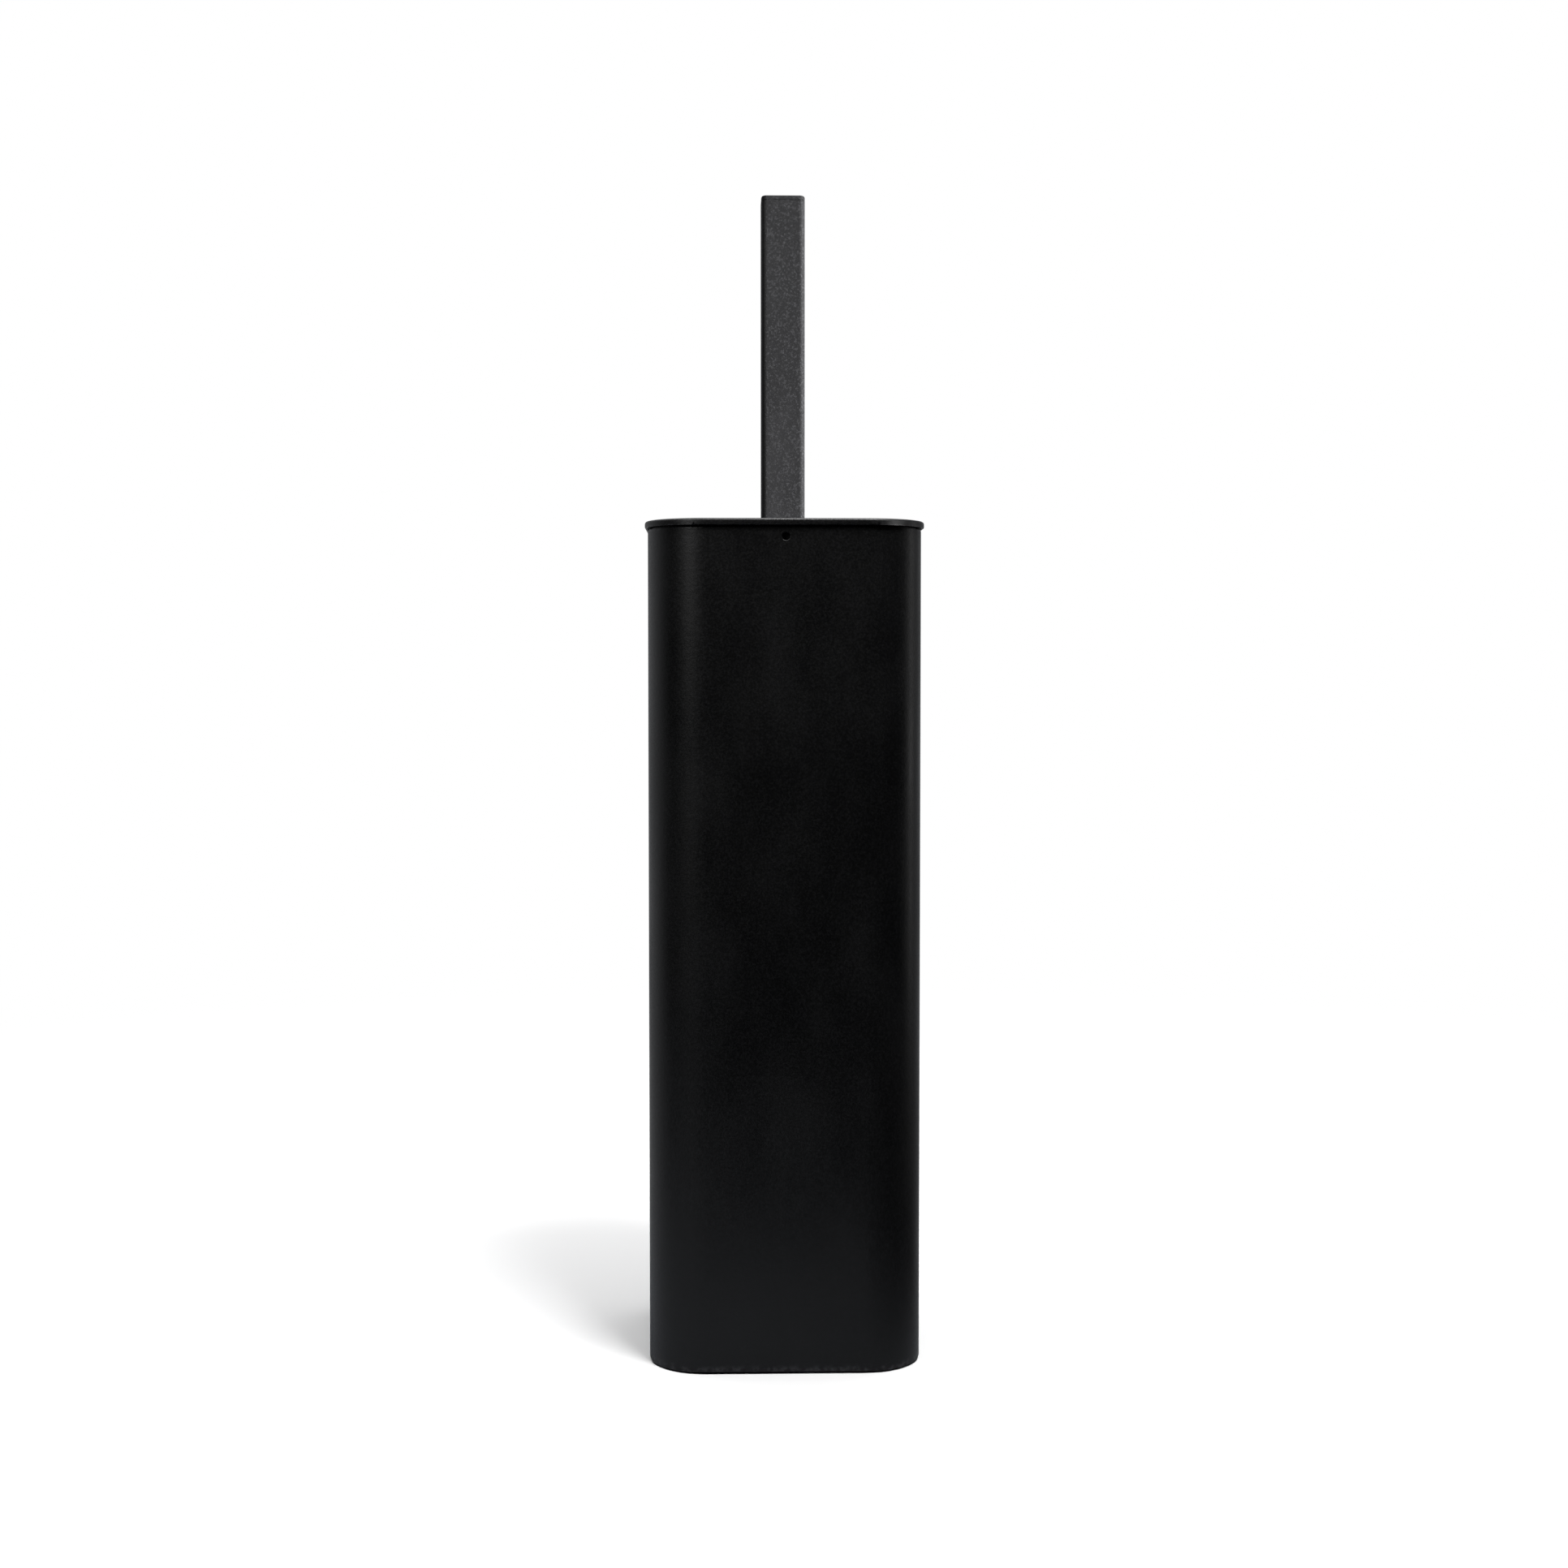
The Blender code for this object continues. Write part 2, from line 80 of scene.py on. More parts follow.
def pick(piece, kind, wanted):
    """Selects only those faces ("FACE"), edges ("EDGE") or points ("VERT") that wanted() says yes to."""
    bpy.ops.mesh.select_mode(type=kind)
    bpy.ops.mesh.select_all(action="DESELECT")
    shape = bmesh.from_edit_mesh(piece.data)
    shape.normal_update()
    found = 0
    for item in {"FACE": shape.faces, "EDGE": shape.edges, "VERT": shape.verts}[kind]:
        if wanted(item):
            item.select_set(True)
            found += 1
    shape.select_flush_mode()
    bmesh.update_edit_mesh(piece.data)
    return found


# %% Helpers that say where a face or an edge is
NEAR = 0.02 * MM


def faces_up(z, up=1):
    """A level face at height z that looks up, or down."""
    return lambda face: face.normal.z * up > 0.99 and abs(face.calc_center_median().z - z) < NEAR


def reach(point):
    """How far a point is from the upright axis, measured as on a square."""
    return max(abs(point.co.x), abs(point.co.y))


def edges_at(z, outside=0.0, inside=1.0):
    """Level edges at height z that lie between two distances from the upright axis."""

    def wanted(edge):
        level = all(abs(point.co.z - z) < NEAR for point in edge.verts)
        return level and outside <= max(reach(point) for point in edge.verts) <= inside

    return wanted


# %% [markdown]
# ## A block with rounded upright edges
# Canister, lid, bucket, insert, tray and handle all share one outline: a square with rounded corners.
# It could be drawn as a curve and extruded. A cube with its four upright edges bevelled is quicker to
# change, because a later inset keeps the wall even round the corners.

# %% The rounded block and the steps drawn from it


def rounded_block(name, half, radius, low, high, corner_steps=24):
    """Adds a square block: half its width, its corner radius, and its lowest and highest level."""
    nothing_selected()
    size = (2 * half, 2 * half, high - low)
    bpy.ops.mesh.primitive_cube_add(size=1, location=(0, 0, (low + high) / 2), scale=size)
    piece = start_piece(name)
    pick(piece, "EDGE", lambda edge: abs(edge.verts[0].co.z - edge.verts[1].co.z) > NEAR)
    bpy.ops.mesh.bevel(offset=radius, segments=corner_steps, profile=0.5, affect="EDGES")
    return piece


def pull(rise, share=1.0):
    """Extrudes the selected level face up or down, then draws it in to a share of its width."""
    bpy.ops.mesh.extrude_region_move(TRANSFORM_OT_translate={"value": (0, 0, rise)})
    if share != 1.0:
        bpy.ops.transform.resize(value=(share, share, 1))


def draw_in(piece, z, up, inset, rise, taper=1.0):
    """Insets the level face at height z, moves what is left of it up or down, and can taper it."""
    pick(piece, "FACE", faces_up(z, up))
    bpy.ops.mesh.inset(thickness=inset, depth=0, use_even_offset=True)
    pull(rise, taper)


def open_sleeve(piece, thickness):
    """Takes the block's two level faces away and gives what is left a wall, inwards."""
    pick(piece, "FACE", lambda face: abs(face.normal.z) > 0.99)
    bpy.ops.mesh.delete(type="ONLY_FACE")
    bpy.ops.object.mode_set(mode="OBJECT")
    wall = piece.modifiers.new("Wall", "SOLIDIFY")
    wall.thickness = thickness
    wall.offset = -1
    wall.use_even_offset = True
    bpy.ops.object.modifier_apply(modifier=wall.name)
    bpy.ops.object.mode_set(mode="EDIT")


def round_edges(piece, wanted, width, steps=3):
    """Bevels the edges that wanted() picks, and says how many they were."""
    found = pick(piece, "EDGE", wanted)
    if found:
        bpy.ops.mesh.bevel(offset=width, segments=steps, profile=0.5, affect="EDGES")
    return found


# %% [markdown]
# A boolean cuts one closed solid with another, which is the surest way to drill a hole or to weld a
# rib on. A finished piece then gets its smooth shading and its material, and is tied to the frame: it
# says which engineering piece it stands in for, and which body it moves with.

# %% Helpers for cutting, and for handing a finished piece over to the frame


def apply_boolean(piece, tool, operation="DIFFERENCE"):
    """Cuts or joins with another object, which is then removed."""
    nothing_selected()
    bpy.context.view_layer.objects.active = piece
    piece.select_set(True)
    boolean = piece.modifiers.new("With " + tool.name, "BOOLEAN")
    boolean.operation = operation
    boolean.solver = "EXACT"
    boolean.object = tool
    bpy.ops.object.modifier_apply(modifier=boolean.name)
    bpy.data.objects.remove(tool)


def round_bar(name, radius, low, high, x=0.0, y=0.0, steps=48):
    """A plain upright bar, mostly used as a drill."""
    nothing_selected()
    place = (x, y, (low + high) / 2)
    bpy.ops.mesh.primitive_cylinder_add(vertices=steps, radius=radius, depth=high - low, location=place)
    bar = start_piece(name)
    bpy.ops.object.mode_set(mode="OBJECT")
    return bar


def flat_bar(name, size, z, turn=0.0):
    """A level bar across the upright axis, turned about it by some degrees."""
    nothing_selected()
    turned = (0, 0, math.radians(turn))
    bpy.ops.mesh.primitive_cube_add(size=1, location=(0, 0, z), scale=size, rotation=turned)
    bar = start_piece(name)
    bpy.ops.object.mode_set(mode="OBJECT")
    return bar


def hand_over(piece, material, slot, body, *nodes, smooth=35, weigh=True):
    """Gives a finished piece its shading, its material and its place in the frame.
    Weighted normals let the large flat faces win, so they look flat right up to a rounded edge."""
    nothing_selected()
    bpy.context.view_layer.objects.active = piece
    piece.select_set(True)
    bpy.ops.object.shade_smooth_by_angle(angle=math.radians(smooth))
    if weigh:
        flat_first = piece.modifiers.new("Flat faces first", "WEIGHTED_NORMAL")
        flat_first.keep_sharp = True
        flat_first.weight = 100
        bpy.ops.object.modifier_apply(modifier=flat_first.name)
    piece.data.materials.clear()
    piece.data.materials.append(material)
    piece.data.update()
    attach(piece, body)
    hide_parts(*nodes)
    triangles = sum(len(face.vertices) - 2 for face in piece.data.polygons)
    print(piece.name, triangles, "triangles, rides on", body)
    return piece


# %% [markdown]
# ## Materials: colours and nodes
# Colours are written as the hex values a paint chart or a screen shows. Blender mixes light in linear
# values, so one function turns the one into the other. Another adds a node with its settings and links.

# %% Colour and node helpers


def linear(code):
    """A colour such as #1b1b1c as linear red, green, blue and alpha."""
    channels = [int(code[place : place + 2], 16) / 255 for place in (1, 3, 5)]
    return tuple(c / 12.92 if c <= 0.04045 else ((c + 0.055) / 1.055) ** 2.4 for c in channels) + (1.0,)


def add_node(tree, kind, inputs=None, **settings):
    """Adds a node. inputs gives each socket a value, or the (node, output) it is linked to."""
    node = tree.nodes.new("ShaderNode" + kind)
    for name, value in settings.items():
        setattr(node, name, value)
    for socket, value in (inputs or {}).items():
        if isinstance(value, tuple) and isinstance(value[0], bpy.types.Node):
            tree.links.new(value[0].outputs[value[1]], node.inputs[socket])
        else:
            node.inputs[socket].default_value = value
    return node


def new_finish(name, **constants):
    """A new material with its shader, and the coordinates that are fixed to the piece."""
    finish = bpy.data.materials.new(name)
    finish.use_nodes = True
    tree = finish.node_tree
    tree.nodes.clear()
    sockets = {key.replace("_", " "): value for key, value in constants.items()}
    coat = add_node(tree, "BsdfPrincipled", sockets)
    add_node(tree, "OutputMaterial", {"Surface": (coat, "BSDF")})
    spot = add_node(tree, "TexCoord")
    return finish, tree, coat, (spot, "Object")


# %% [markdown]
# Almost every finish is uneven in the same few ways: cloudy noise at some real size, a soft threshold
# that picks a part of it, and a blend between two colours by that part. Each is one small function.

# %% Small patterns that several finishes share


def grain(tree, spot, size, detail=2.0, roughness=0.55, stretch=(1, 1, 1)):
    """Cloudy noise whose spots are about this many metres across. stretch makes them longer one way."""
    turned = add_node(tree, "Mapping", {"Vector": spot, "Scale": tuple(1 / s for s in stretch)})
    inputs = {"Vector": (turned, "Vector"), "Scale": 1 / size, "Detail": detail, "Roughness": roughness}
    return add_node(tree, "TexNoise", inputs), "Fac"


def between(tree, value, low, high, new_low=0.0, new_high=1.0):
    """Spreads the part of a value from low to high over new_low to new_high, with soft ends."""
    inputs = {"Value": value, "From Min": low, "From Max": high, "To Min": new_low, "To Max": new_high}
    return add_node(tree, "MapRange", inputs, interpolation_type="SMOOTHSTEP"), "Result"


def blend_colours(tree, share, first, second):
    """first where share is 0, second where it is 1. Each is a hex colour or an output."""
    first = linear(first) if isinstance(first, str) else first
    second = linear(second) if isinstance(second, str) else second
    return add_node(tree, "Mix", {0: share, 6: first, 7: second}, data_type="RGBA"), 2


def sum_of(tree, first, second, operation="ADD", third=0.0):
    """A sum of two values, or another operation on two or three of them."""
    return add_node(tree, "Math", {0: first, 1: second, 2: third}, operation=operation), "Value"


# %% [markdown]
# ## Powder coat
# The canister, the lid and the handle are steel, sprayed with dry polyester powder and baked. The powder
# melts into a tough film with a faint orange-peel swell 1 to 2 mm wide and, in a matt black, a fine
# dull grain. It could be one smooth grey with a high roughness, but the eye knows powder coat by that
# broken sheen: highlights have a grainy edge. So swell and grain go into the bump, smudges of old
# cleaning go into the roughness, and edges that are knocked and wiped are a little greyer and glossier.
# That paler grey along the rims is partly rubbed coat and partly a painted highlight, where the rims catch
# light.

# %% The powder coat finish


def from_corner_centre(tree, spot, straight):
    """How far a place is out from the middle of its rounded corner, which is 0 all over the middle.
    On the outside of a rounded square it equals the corner radius, on flats and corners alike."""
    corner = (straight, straight, 0)
    folded = add_node(tree, "VectorMath", {0: spot}, operation="ABSOLUTE")
    shifted = add_node(tree, "VectorMath", {0: (folded, 0), 1: corner}, operation="SUBTRACT")
    outside = add_node(tree, "VectorMath", {0: (shifted, 0), 1: (0, 0, 0)}, operation="MAXIMUM")
    level = add_node(tree, "VectorMath", {0: (outside, 0), 1: (1, 1, 0)}, operation="MULTIPLY")
    return add_node(tree, "VectorMath", {0: (level, 0)}, operation="LENGTH"), "Value"


ORANGE_PEEL = 1.6 * MM
SMUDGE = 24 * MM
# The paler rim bands are partly rubbed coat and partly a painted highlight, laid on in patches.
RUBBED_AND_HIGHLIGHT_PATCH = 1.6 * MM
RUBBED_AND_HIGHLIGHT_GREY = "#3f3f41"


def powder_coat(name, colour, fleck, roughness, texture, worn_and_lit_bands, half, radius):
    """texture is the width of the grain, and fleck is the colour of its high spots.
    worn_and_lit_bands lists bands of height, each from where the coat is as new to where it is rubbed and
    carries a painted highlight.
    half and radius are the piece's outline, because only its outer edge is rubbed."""
    finish, tree, coat, spot = new_finish(name, IOR=1.5)
    peel = grain(tree, spot, ORANGE_PEEL, detail=1.0)
    dust = grain(tree, spot, texture, detail=3.0, roughness=0.7)
    smudge = grain(tree, spot, SMUDGE, detail=4.0, stretch=(1, 1, 2.2))
    height = (add_node(tree, "SeparateXYZ", {"Vector": spot}), "Z")
    rubbed_and_lit = 0.0
    # Each band is rubbed coat and also a painted highlight along an edge that catches light.
    for clean, bare in worn_and_lit_bands:
        band = between(tree, height, clean, bare)
        rubbed_and_lit = sum_of(tree, rubbed_and_lit, band, "MAXIMUM")
    patchy = between(tree, grain(tree, spot, RUBBED_AND_HIGHLIGHT_PATCH, detail=3.0), 0.42, 0.66)
    rubbed_and_lit = sum_of(tree, rubbed_and_lit, patchy, "MULTIPLY")
    outline = from_corner_centre(tree, spot, half - radius)
    edge = between(tree, outline, radius - 0.9 * MM, radius - 0.1 * MM)
    rubbed_and_lit = sum_of(tree, rubbed_and_lit, edge, "MULTIPLY")
    flecks = between(tree, dust, 0.48, 0.68)
    base = blend_colours(tree, flecks, colour, fleck)
    film = between(tree, smudge, 0.45, 0.75, 0.0, 0.35)
    base = blend_colours(tree, film, base, fleck)
    # Paints the rim bands paler: rubbed coat, and a painted highlight.
    base = blend_colours(tree, rubbed_and_lit, base, RUBBED_AND_HIGHLIGHT_GREY)
    tree.links.new(base[0].outputs[base[1]], coat.inputs["Base Color"])
    cloud = between(tree, smudge, 0.3, 0.7, roughness - 0.04, roughness + 0.05)
    fine = between(tree, dust, 0.3, 0.7, -0.05, 0.05)
    dull = sum_of(tree, cloud, fine)
    dull = sum_of(tree, rubbed_and_lit, -0.10, "MULTIPLY_ADD", dull)
    tree.links.new(dull[0].outputs[dull[1]], coat.inputs["Roughness"])
    waves = add_node(tree, "Bump", {"Height": peel, "Distance": 0.045 * MM, "Strength": 0.7})
    bumps = {"Height": dust, "Distance": 0.05 * MM, "Strength": 0.55, "Normal": (waves, "Normal")}
    relief = add_node(tree, "Bump", bumps)
    tree.links.new(relief.outputs["Normal"], coat.inputs["Normal"])
    return finish


# %% Coats for the canister, the lid and the handle
# The grain of a real matt coat is about 0.1 mm. It is drawn at 0.65 to 0.7 mm, or it would not show.
shell_low, shell_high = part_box("canister_shell")
lid_low, lid_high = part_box("lid_cap")
SHELL_HALF, LID_HALF = shell_high.x, lid_high.x
SHELL_RADIUS = 20 * MM
LID_RADIUS = SHELL_RADIUS + (LID_HALF - SHELL_HALF)
HANDLE_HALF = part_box("handle_tube")[1].x
HANDLE_RADIUS = 1.9 * MM
handle_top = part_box("handle_end_cap")[1].z
SHELL_COAT = powder_coat(
    "matt_black_polyester_powder_coat",
    colour="#050506",
    fleck="#0e0e10",
    roughness=0.38,
    texture=0.7 * MM,
    # Foot and top rim: rubbed coat and a painted highlight.
    worn_and_lit_bands=[
        (shell_low.z + 3 * MM, shell_low.z),
        (shell_high.z - 1.2 * MM, shell_high.z),
    ],
    half=SHELL_HALF,
    radius=SHELL_RADIUS,
)
LID_COAT = powder_coat(
    "matt_black_powder_coat_on_pressed_lid",
    colour="#0c0c0d",
    fleck="#19191b",
    roughness=0.36,
    texture=0.7 * MM,
    # Both rolled edges of the rim: rubbed coat and a painted highlight.
    worn_and_lit_bands=[
        (lid_high.z - 0.6 * MM, lid_high.z),
        (lid_low.z + 0.5 * MM, lid_low.z),
    ],
    half=LID_HALF,
    radius=LID_RADIUS,
)
# The handle's coat is a textured one, which gives grip: greyer and duller, with paler flecks.
HANDLE_COAT = powder_coat(
    "textured_grey_black_powder_coat",
    colour="#2f2f30",
    fleck="#49494b",
    roughness=0.52,
    texture=0.65 * MM,
    # Top edge: rubbed coat and a painted highlight.
    worn_and_lit_bands=[(handle_top - 1.0 * MM, handle_top)],
    half=HANDLE_HALF,
    radius=HANDLE_RADIUS,
)
print("coats:", SHELL_COAT.name, LID_COAT.name, HANDLE_COAT.name)

# %% [markdown]
# ## Moulded plastics and rubber
# Tray, insert and brush core are black polypropylene from a spark-eroded mould, which leaves an even,
# very fine leathery dullness. The bucket's mould is smoother, so it has a satin sheen, and its inside
# collects a faint chalky tide mark from drips. The pads and the seal are soft rubber: no sheen at all.

# %% Moulded plastic, bucket plastic and rubber


def moulded_plastic(name, colour, pale, roughness, texture, relief_depth, chalk=None):
    """chalk, if given, is where a dried film of hard water lies: the height where it is full, the
    height where it ends, and the straight half and corner radius of the outline that it lies in."""
    finish, tree, skin, spot = new_finish(name, IOR=1.49)
    spark = grain(tree, spot, texture, detail=3.0, roughness=0.65)
    flow = grain(tree, spot, 9 * MM, detail=3.0, stretch=(1, 1, 5))
    shade = blend_colours(tree, between(tree, flow, 0.35, 0.8, 0.0, 0.6), colour, pale)
    shade = blend_colours(tree, between(tree, spark, 0.55, 0.8, 0.0, 0.5), shade, pale)
    dull = between(tree, flow, 0.3, 0.7, roughness - 0.05, roughness + 0.06)
    dull = sum_of(tree, dull, between(tree, spark, 0.3, 0.7, -0.03, 0.03))
    if chalk:
        full, end, straight, radius = chalk
        height = (add_node(tree, "SeparateXYZ", {"Vector": spot}), "Z")
        tide = between(tree, height, end, full)
        rings = between(tree, grain(tree, spot, 5 * MM, detail=5.0, roughness=0.7), 0.45, 0.7)
        outline = from_corner_centre(tree, spot, straight)
        within = between(tree, outline, radius, radius - 0.4 * MM)
        tide = sum_of(tree, sum_of(tree, tide, rings, "MULTIPLY"), within, "MULTIPLY")
        tide = sum_of(tree, tide, 0.4, "MULTIPLY")
        shade = blend_colours(tree, tide, shade, "#6f6f6c")
        dull = sum_of(tree, tide, 0.35, "MULTIPLY_ADD", dull)
    tree.links.new(shade[0].outputs[shade[1]], skin.inputs["Base Color"])
    tree.links.new(dull[0].outputs[dull[1]], skin.inputs["Roughness"])
    relief = add_node(tree, "Bump", {"Height": spark, "Distance": relief_depth, "Strength": 0.6})
    tree.links.new(relief.outputs["Normal"], skin.inputs["Normal"])
    return finish


# Spark-eroded grain is about 0.1 mm. It is drawn at 0.35 to 0.6 mm, so that it shows.
bucket_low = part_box("inner_bucket")[0].z
TRAY_PLASTIC = moulded_plastic(
    "black_polypropylene_spark_eroded",
    colour="#1a1a1a",
    pale="#2a2a2b",
    roughness=0.55,
    texture=0.5 * MM,
    relief_depth=0.05 * MM,
)
BUCKET_PLASTIC = moulded_plastic(
    "black_polypropylene_satin_bucket",
    colour="#1f1f20",
    pale="#2b2b2d",
    roughness=0.38,
    texture=0.6 * MM,
    relief_depth=0.02 * MM,
    chalk=(bucket_low + 2 * MM, bucket_low + 40 * MM, 26 * MM, 15.8 * MM),
)
CORE_PLASTIC = moulded_plastic(
    "black_polypropylene_brush_core",
    colour="#1c1c1d",
    pale="#2c2c2e",
    roughness=0.46,
    texture=0.5 * MM,
    relief_depth=0.03 * MM,
)
RUBBER = moulded_plastic(
    "black_moulded_rubber",
    colour="#232322",
    pale="#383836",
    roughness=0.86,
    texture=0.35 * MM,
    relief_depth=0.06 * MM,
)
print("plastics:", TRAY_PLASTIC.name, BUCKET_PLASTIC.name, CORE_PLASTIC.name, RUBBER.name)

# %% [markdown]
# ## Bare metals
# The rod, its nut and its washer are stainless steel, drawn or turned and then brushed: fine scratches
# all run one way and smear the highlight across them. The socket is aluminium, milled from bar. A single
# shiny grey would look like chrome. Noise that is stretched many times along the scratches gives the
# smear, in roughness and in bump, at the real spacing of about 0.15 mm on steel. The aluminium's
# milling marks are wider, 0.3 mm.

# %% Brushed metals


BRUSHING = 0.15 * MM
MILLING = 0.3 * MM


def brushed_metal(name, colour, stain, roughness, along, scratch=BRUSHING):
    """along is how the scratches are stretched: (1, 1, 60) is lengthwise, (60, 60, 1) is round the bar."""
    finish, tree, metal, spot = new_finish(name, Metallic=1.0)
    lines = grain(tree, spot, scratch, detail=2.0, stretch=along)
    cloud = grain(tree, spot, 7 * MM, detail=4.0)
    shade = blend_colours(tree, between(tree, cloud, 0.4, 0.8, 0.0, 0.7), colour, stain)
    shade = blend_colours(tree, between(tree, lines, 0.5, 0.8, 0.0, 0.4), shade, stain)
    tree.links.new(shade[0].outputs[shade[1]], metal.inputs["Base Color"])
    dull = between(tree, lines, 0.3, 0.7, roughness - 0.05, roughness + 0.07)
    dull = sum_of(tree, dull, between(tree, cloud, 0.3, 0.7, -0.02, 0.05))
    tree.links.new(dull[0].outputs[dull[1]], metal.inputs["Roughness"])
    relief = add_node(tree, "Bump", {"Height": lines, "Distance": 0.003 * MM, "Strength": 0.4})
    tree.links.new(relief.outputs["Normal"], metal.inputs["Normal"])
    return finish


ROD_STEEL = brushed_metal("brushed_stainless_steel_rod", "#cfccc6", "#a9a6a0", 0.27, (1, 1, 60))
TURNED_STEEL = brushed_metal("turned_stainless_steel", "#c9c6c1", "#9f9c97", 0.30, (30, 30, 1))
MILLED_ALUMINIUM = brushed_metal("milled_aluminium", "#d8d9da", "#b3b4b6", 0.36, (1, 40, 1), MILLING)
print("metals:", ROD_STEEL.name, TURNED_STEEL.name, MILLED_ALUMINIUM.name)

# %% [markdown]
# ## Nylon bristle
# The filaments are extruded nylon, dyed black right through. They have a narrow soft highlight along
# each one, because they are round and smooth, and the tips are paler where they were trimmed. The
# colour also differs a little from tuft to tuft.

# %% The bristle finish


TIPS_START, TIPS_END = 33 * MM, 36.4 * MM


def bristle_nylon(name):
    """Black nylon whose trimmed tips, far out from the upright axis, are paler and duller."""
    finish, tree, fibre, spot = new_finish(name, IOR=1.53)
    tufts = grain(tree, spot, 6 * MM, detail=2.0)
    axes = add_node(tree, "SeparateXYZ", {"Vector": spot})
    out_x = sum_of(tree, (axes, "X"), (axes, "X"), "MULTIPLY")
    out_y = sum_of(tree, (axes, "Y"), (axes, "Y"), "MULTIPLY")
    radius = sum_of(tree, sum_of(tree, out_x, out_y), 0.5, "POWER")
    tips = between(tree, radius, TIPS_START, TIPS_END, 0.0, 0.75)
    shade = blend_colours(tree, between(tree, tufts, 0.3, 0.75), "#161617", "#2a2a2c")
    shade = blend_colours(tree, tips, shade, "#4b4b4d")
    tree.links.new(shade[0].outputs[shade[1]], fibre.inputs["Base Color"])
    dull = between(tree, tufts, 0.3, 0.7, 0.34, 0.46)
    dull = sum_of(tree, tips, 0.2, "MULTIPLY_ADD", dull)
    tree.links.new(dull[0].outputs[dull[1]], fibre.inputs["Roughness"])
    ribs = grain(tree, spot, 0.4 * MM, detail=1.0)
    relief = add_node(tree, "Bump", {"Height": ribs, "Distance": 0.02 * MM, "Strength": 0.4})
    tree.links.new(relief.outputs["Normal"], fibre.inputs["Normal"])
    return finish


BRISTLE = bristle_nylon("extruded_black_nylon_bristle")
print("bristle:", BRISTLE.name)

# %% [markdown]
# ## The canister
# The canister is a sleeve of 0.8 mm steel, bent to a square with wide corners, open at both ends. It
# could be extruded from a curve with thickness. Here the block's two level faces are deleted, which
# leaves a sleeve with no thickness, and a Solidify modifier gives it its wall, inwards, so the outside
# keeps its size. The rims are then rounded, more at the foot, where the sheet's edge is turned.

# %% Canister sleeve, its wall and its rounded rims
SHELL_WALL = 0.8 * MM
SHELL_TOP, SHELL_FOOT = shell_high.z, shell_low.z
TOP_ROUNDING = 0.30 * MM
FOOT_ROUNDING = 0.55 * MM

canister = rounded_block("canister_sleeve", SHELL_HALF, SHELL_RADIUS, SHELL_FOOT, SHELL_TOP, 32)
open_sleeve(canister, SHELL_WALL)
middle_of_wall = SHELL_HALF - SHELL_WALL / 2
round_edges(canister, edges_at(SHELL_TOP, middle_of_wall), TOP_ROUNDING)
round_edges(canister, edges_at(SHELL_FOOT, middle_of_wall), FOOT_ROUNDING, 4)
bpy.ops.object.mode_set(mode="OBJECT")
print("canister sleeve:", len(canister.data.polygons), "faces")

# %% [markdown]
# The small round hole near the top of the front lets the canister be picked up and air out. It was
# drilled before coating, so the powder has run into its edge and rounded it. A boolean drills it, and
# the circle it leaves on the front is bevelled.

# %% The vent hole
VENT_RADIUS = 1.3 * MM
VENT_Z = SHELL_TOP - 3 * MM
VENT_ROUNDING = 0.28 * MM
nothing_selected()
bpy.ops.mesh.primitive_cylinder_add(
    vertices=40,
    radius=VENT_RADIUS,
    depth=6 * MM,
    location=(0, -SHELL_HALF, VENT_Z),
    rotation=(math.radians(90), 0, 0),
)
drill = start_piece("drill")
bpy.ops.object.mode_set(mode="OBJECT")
apply_boolean(canister, drill)
bpy.ops.object.mode_set(mode="EDIT")


def vent_rim(edge):
    on_front = all(abs(point.co.y + SHELL_HALF) < NEAR for point in edge.verts)
    return on_front and all(
        math.hypot(point.co.x, point.co.z - VENT_Z) < VENT_RADIUS + NEAR for point in edge.verts
    )


print("vent rim edges:", round_edges(canister, vent_rim, VENT_ROUNDING))
hand_over(canister, SHELL_COAT, "powder_coat_black", "holder", "canister_shell", smooth=40)

# %% [markdown]
# ## The base tray
# A moulded tray is pressed into the canister's foot: it closes the canister and the bucket stands in
# it. Its underside is what a hand feels when it lifts the holder, so it gets what such a moulding has:
# a shallow panel inside a foot rim, round seats for the pads, and ribs that keep the panel flat.

# %% Tray, floor and foot rim
low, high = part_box("base_tray")
TRAY_HALF = high.x
TRAY_RADIUS = SHELL_RADIUS - (SHELL_HALF - TRAY_HALF)
TRAY_WALL = 1.6 * MM
TRAY_FLOOR = low.z + 2 * MM
TRAY_ROUNDING = 0.35 * MM
FOOT_RIM = 5 * MM
PANEL_DEPTH = 0.5 * MM
tray = rounded_block("moulded_base_tray", TRAY_HALF, TRAY_RADIUS, low.z, high.z, 24)
draw_in(tray, high.z, 1, TRAY_WALL, TRAY_FLOOR - high.z)
draw_in(tray, low.z, -1, FOOT_RIM, PANEL_DEPTH)
round_edges(tray, edges_at(high.z), TRAY_ROUNDING, 2)
round_edges(tray, edges_at(low.z, TRAY_HALF - 1 * MM), TRAY_ROUNDING, 2)
bpy.ops.object.mode_set(mode="OBJECT")

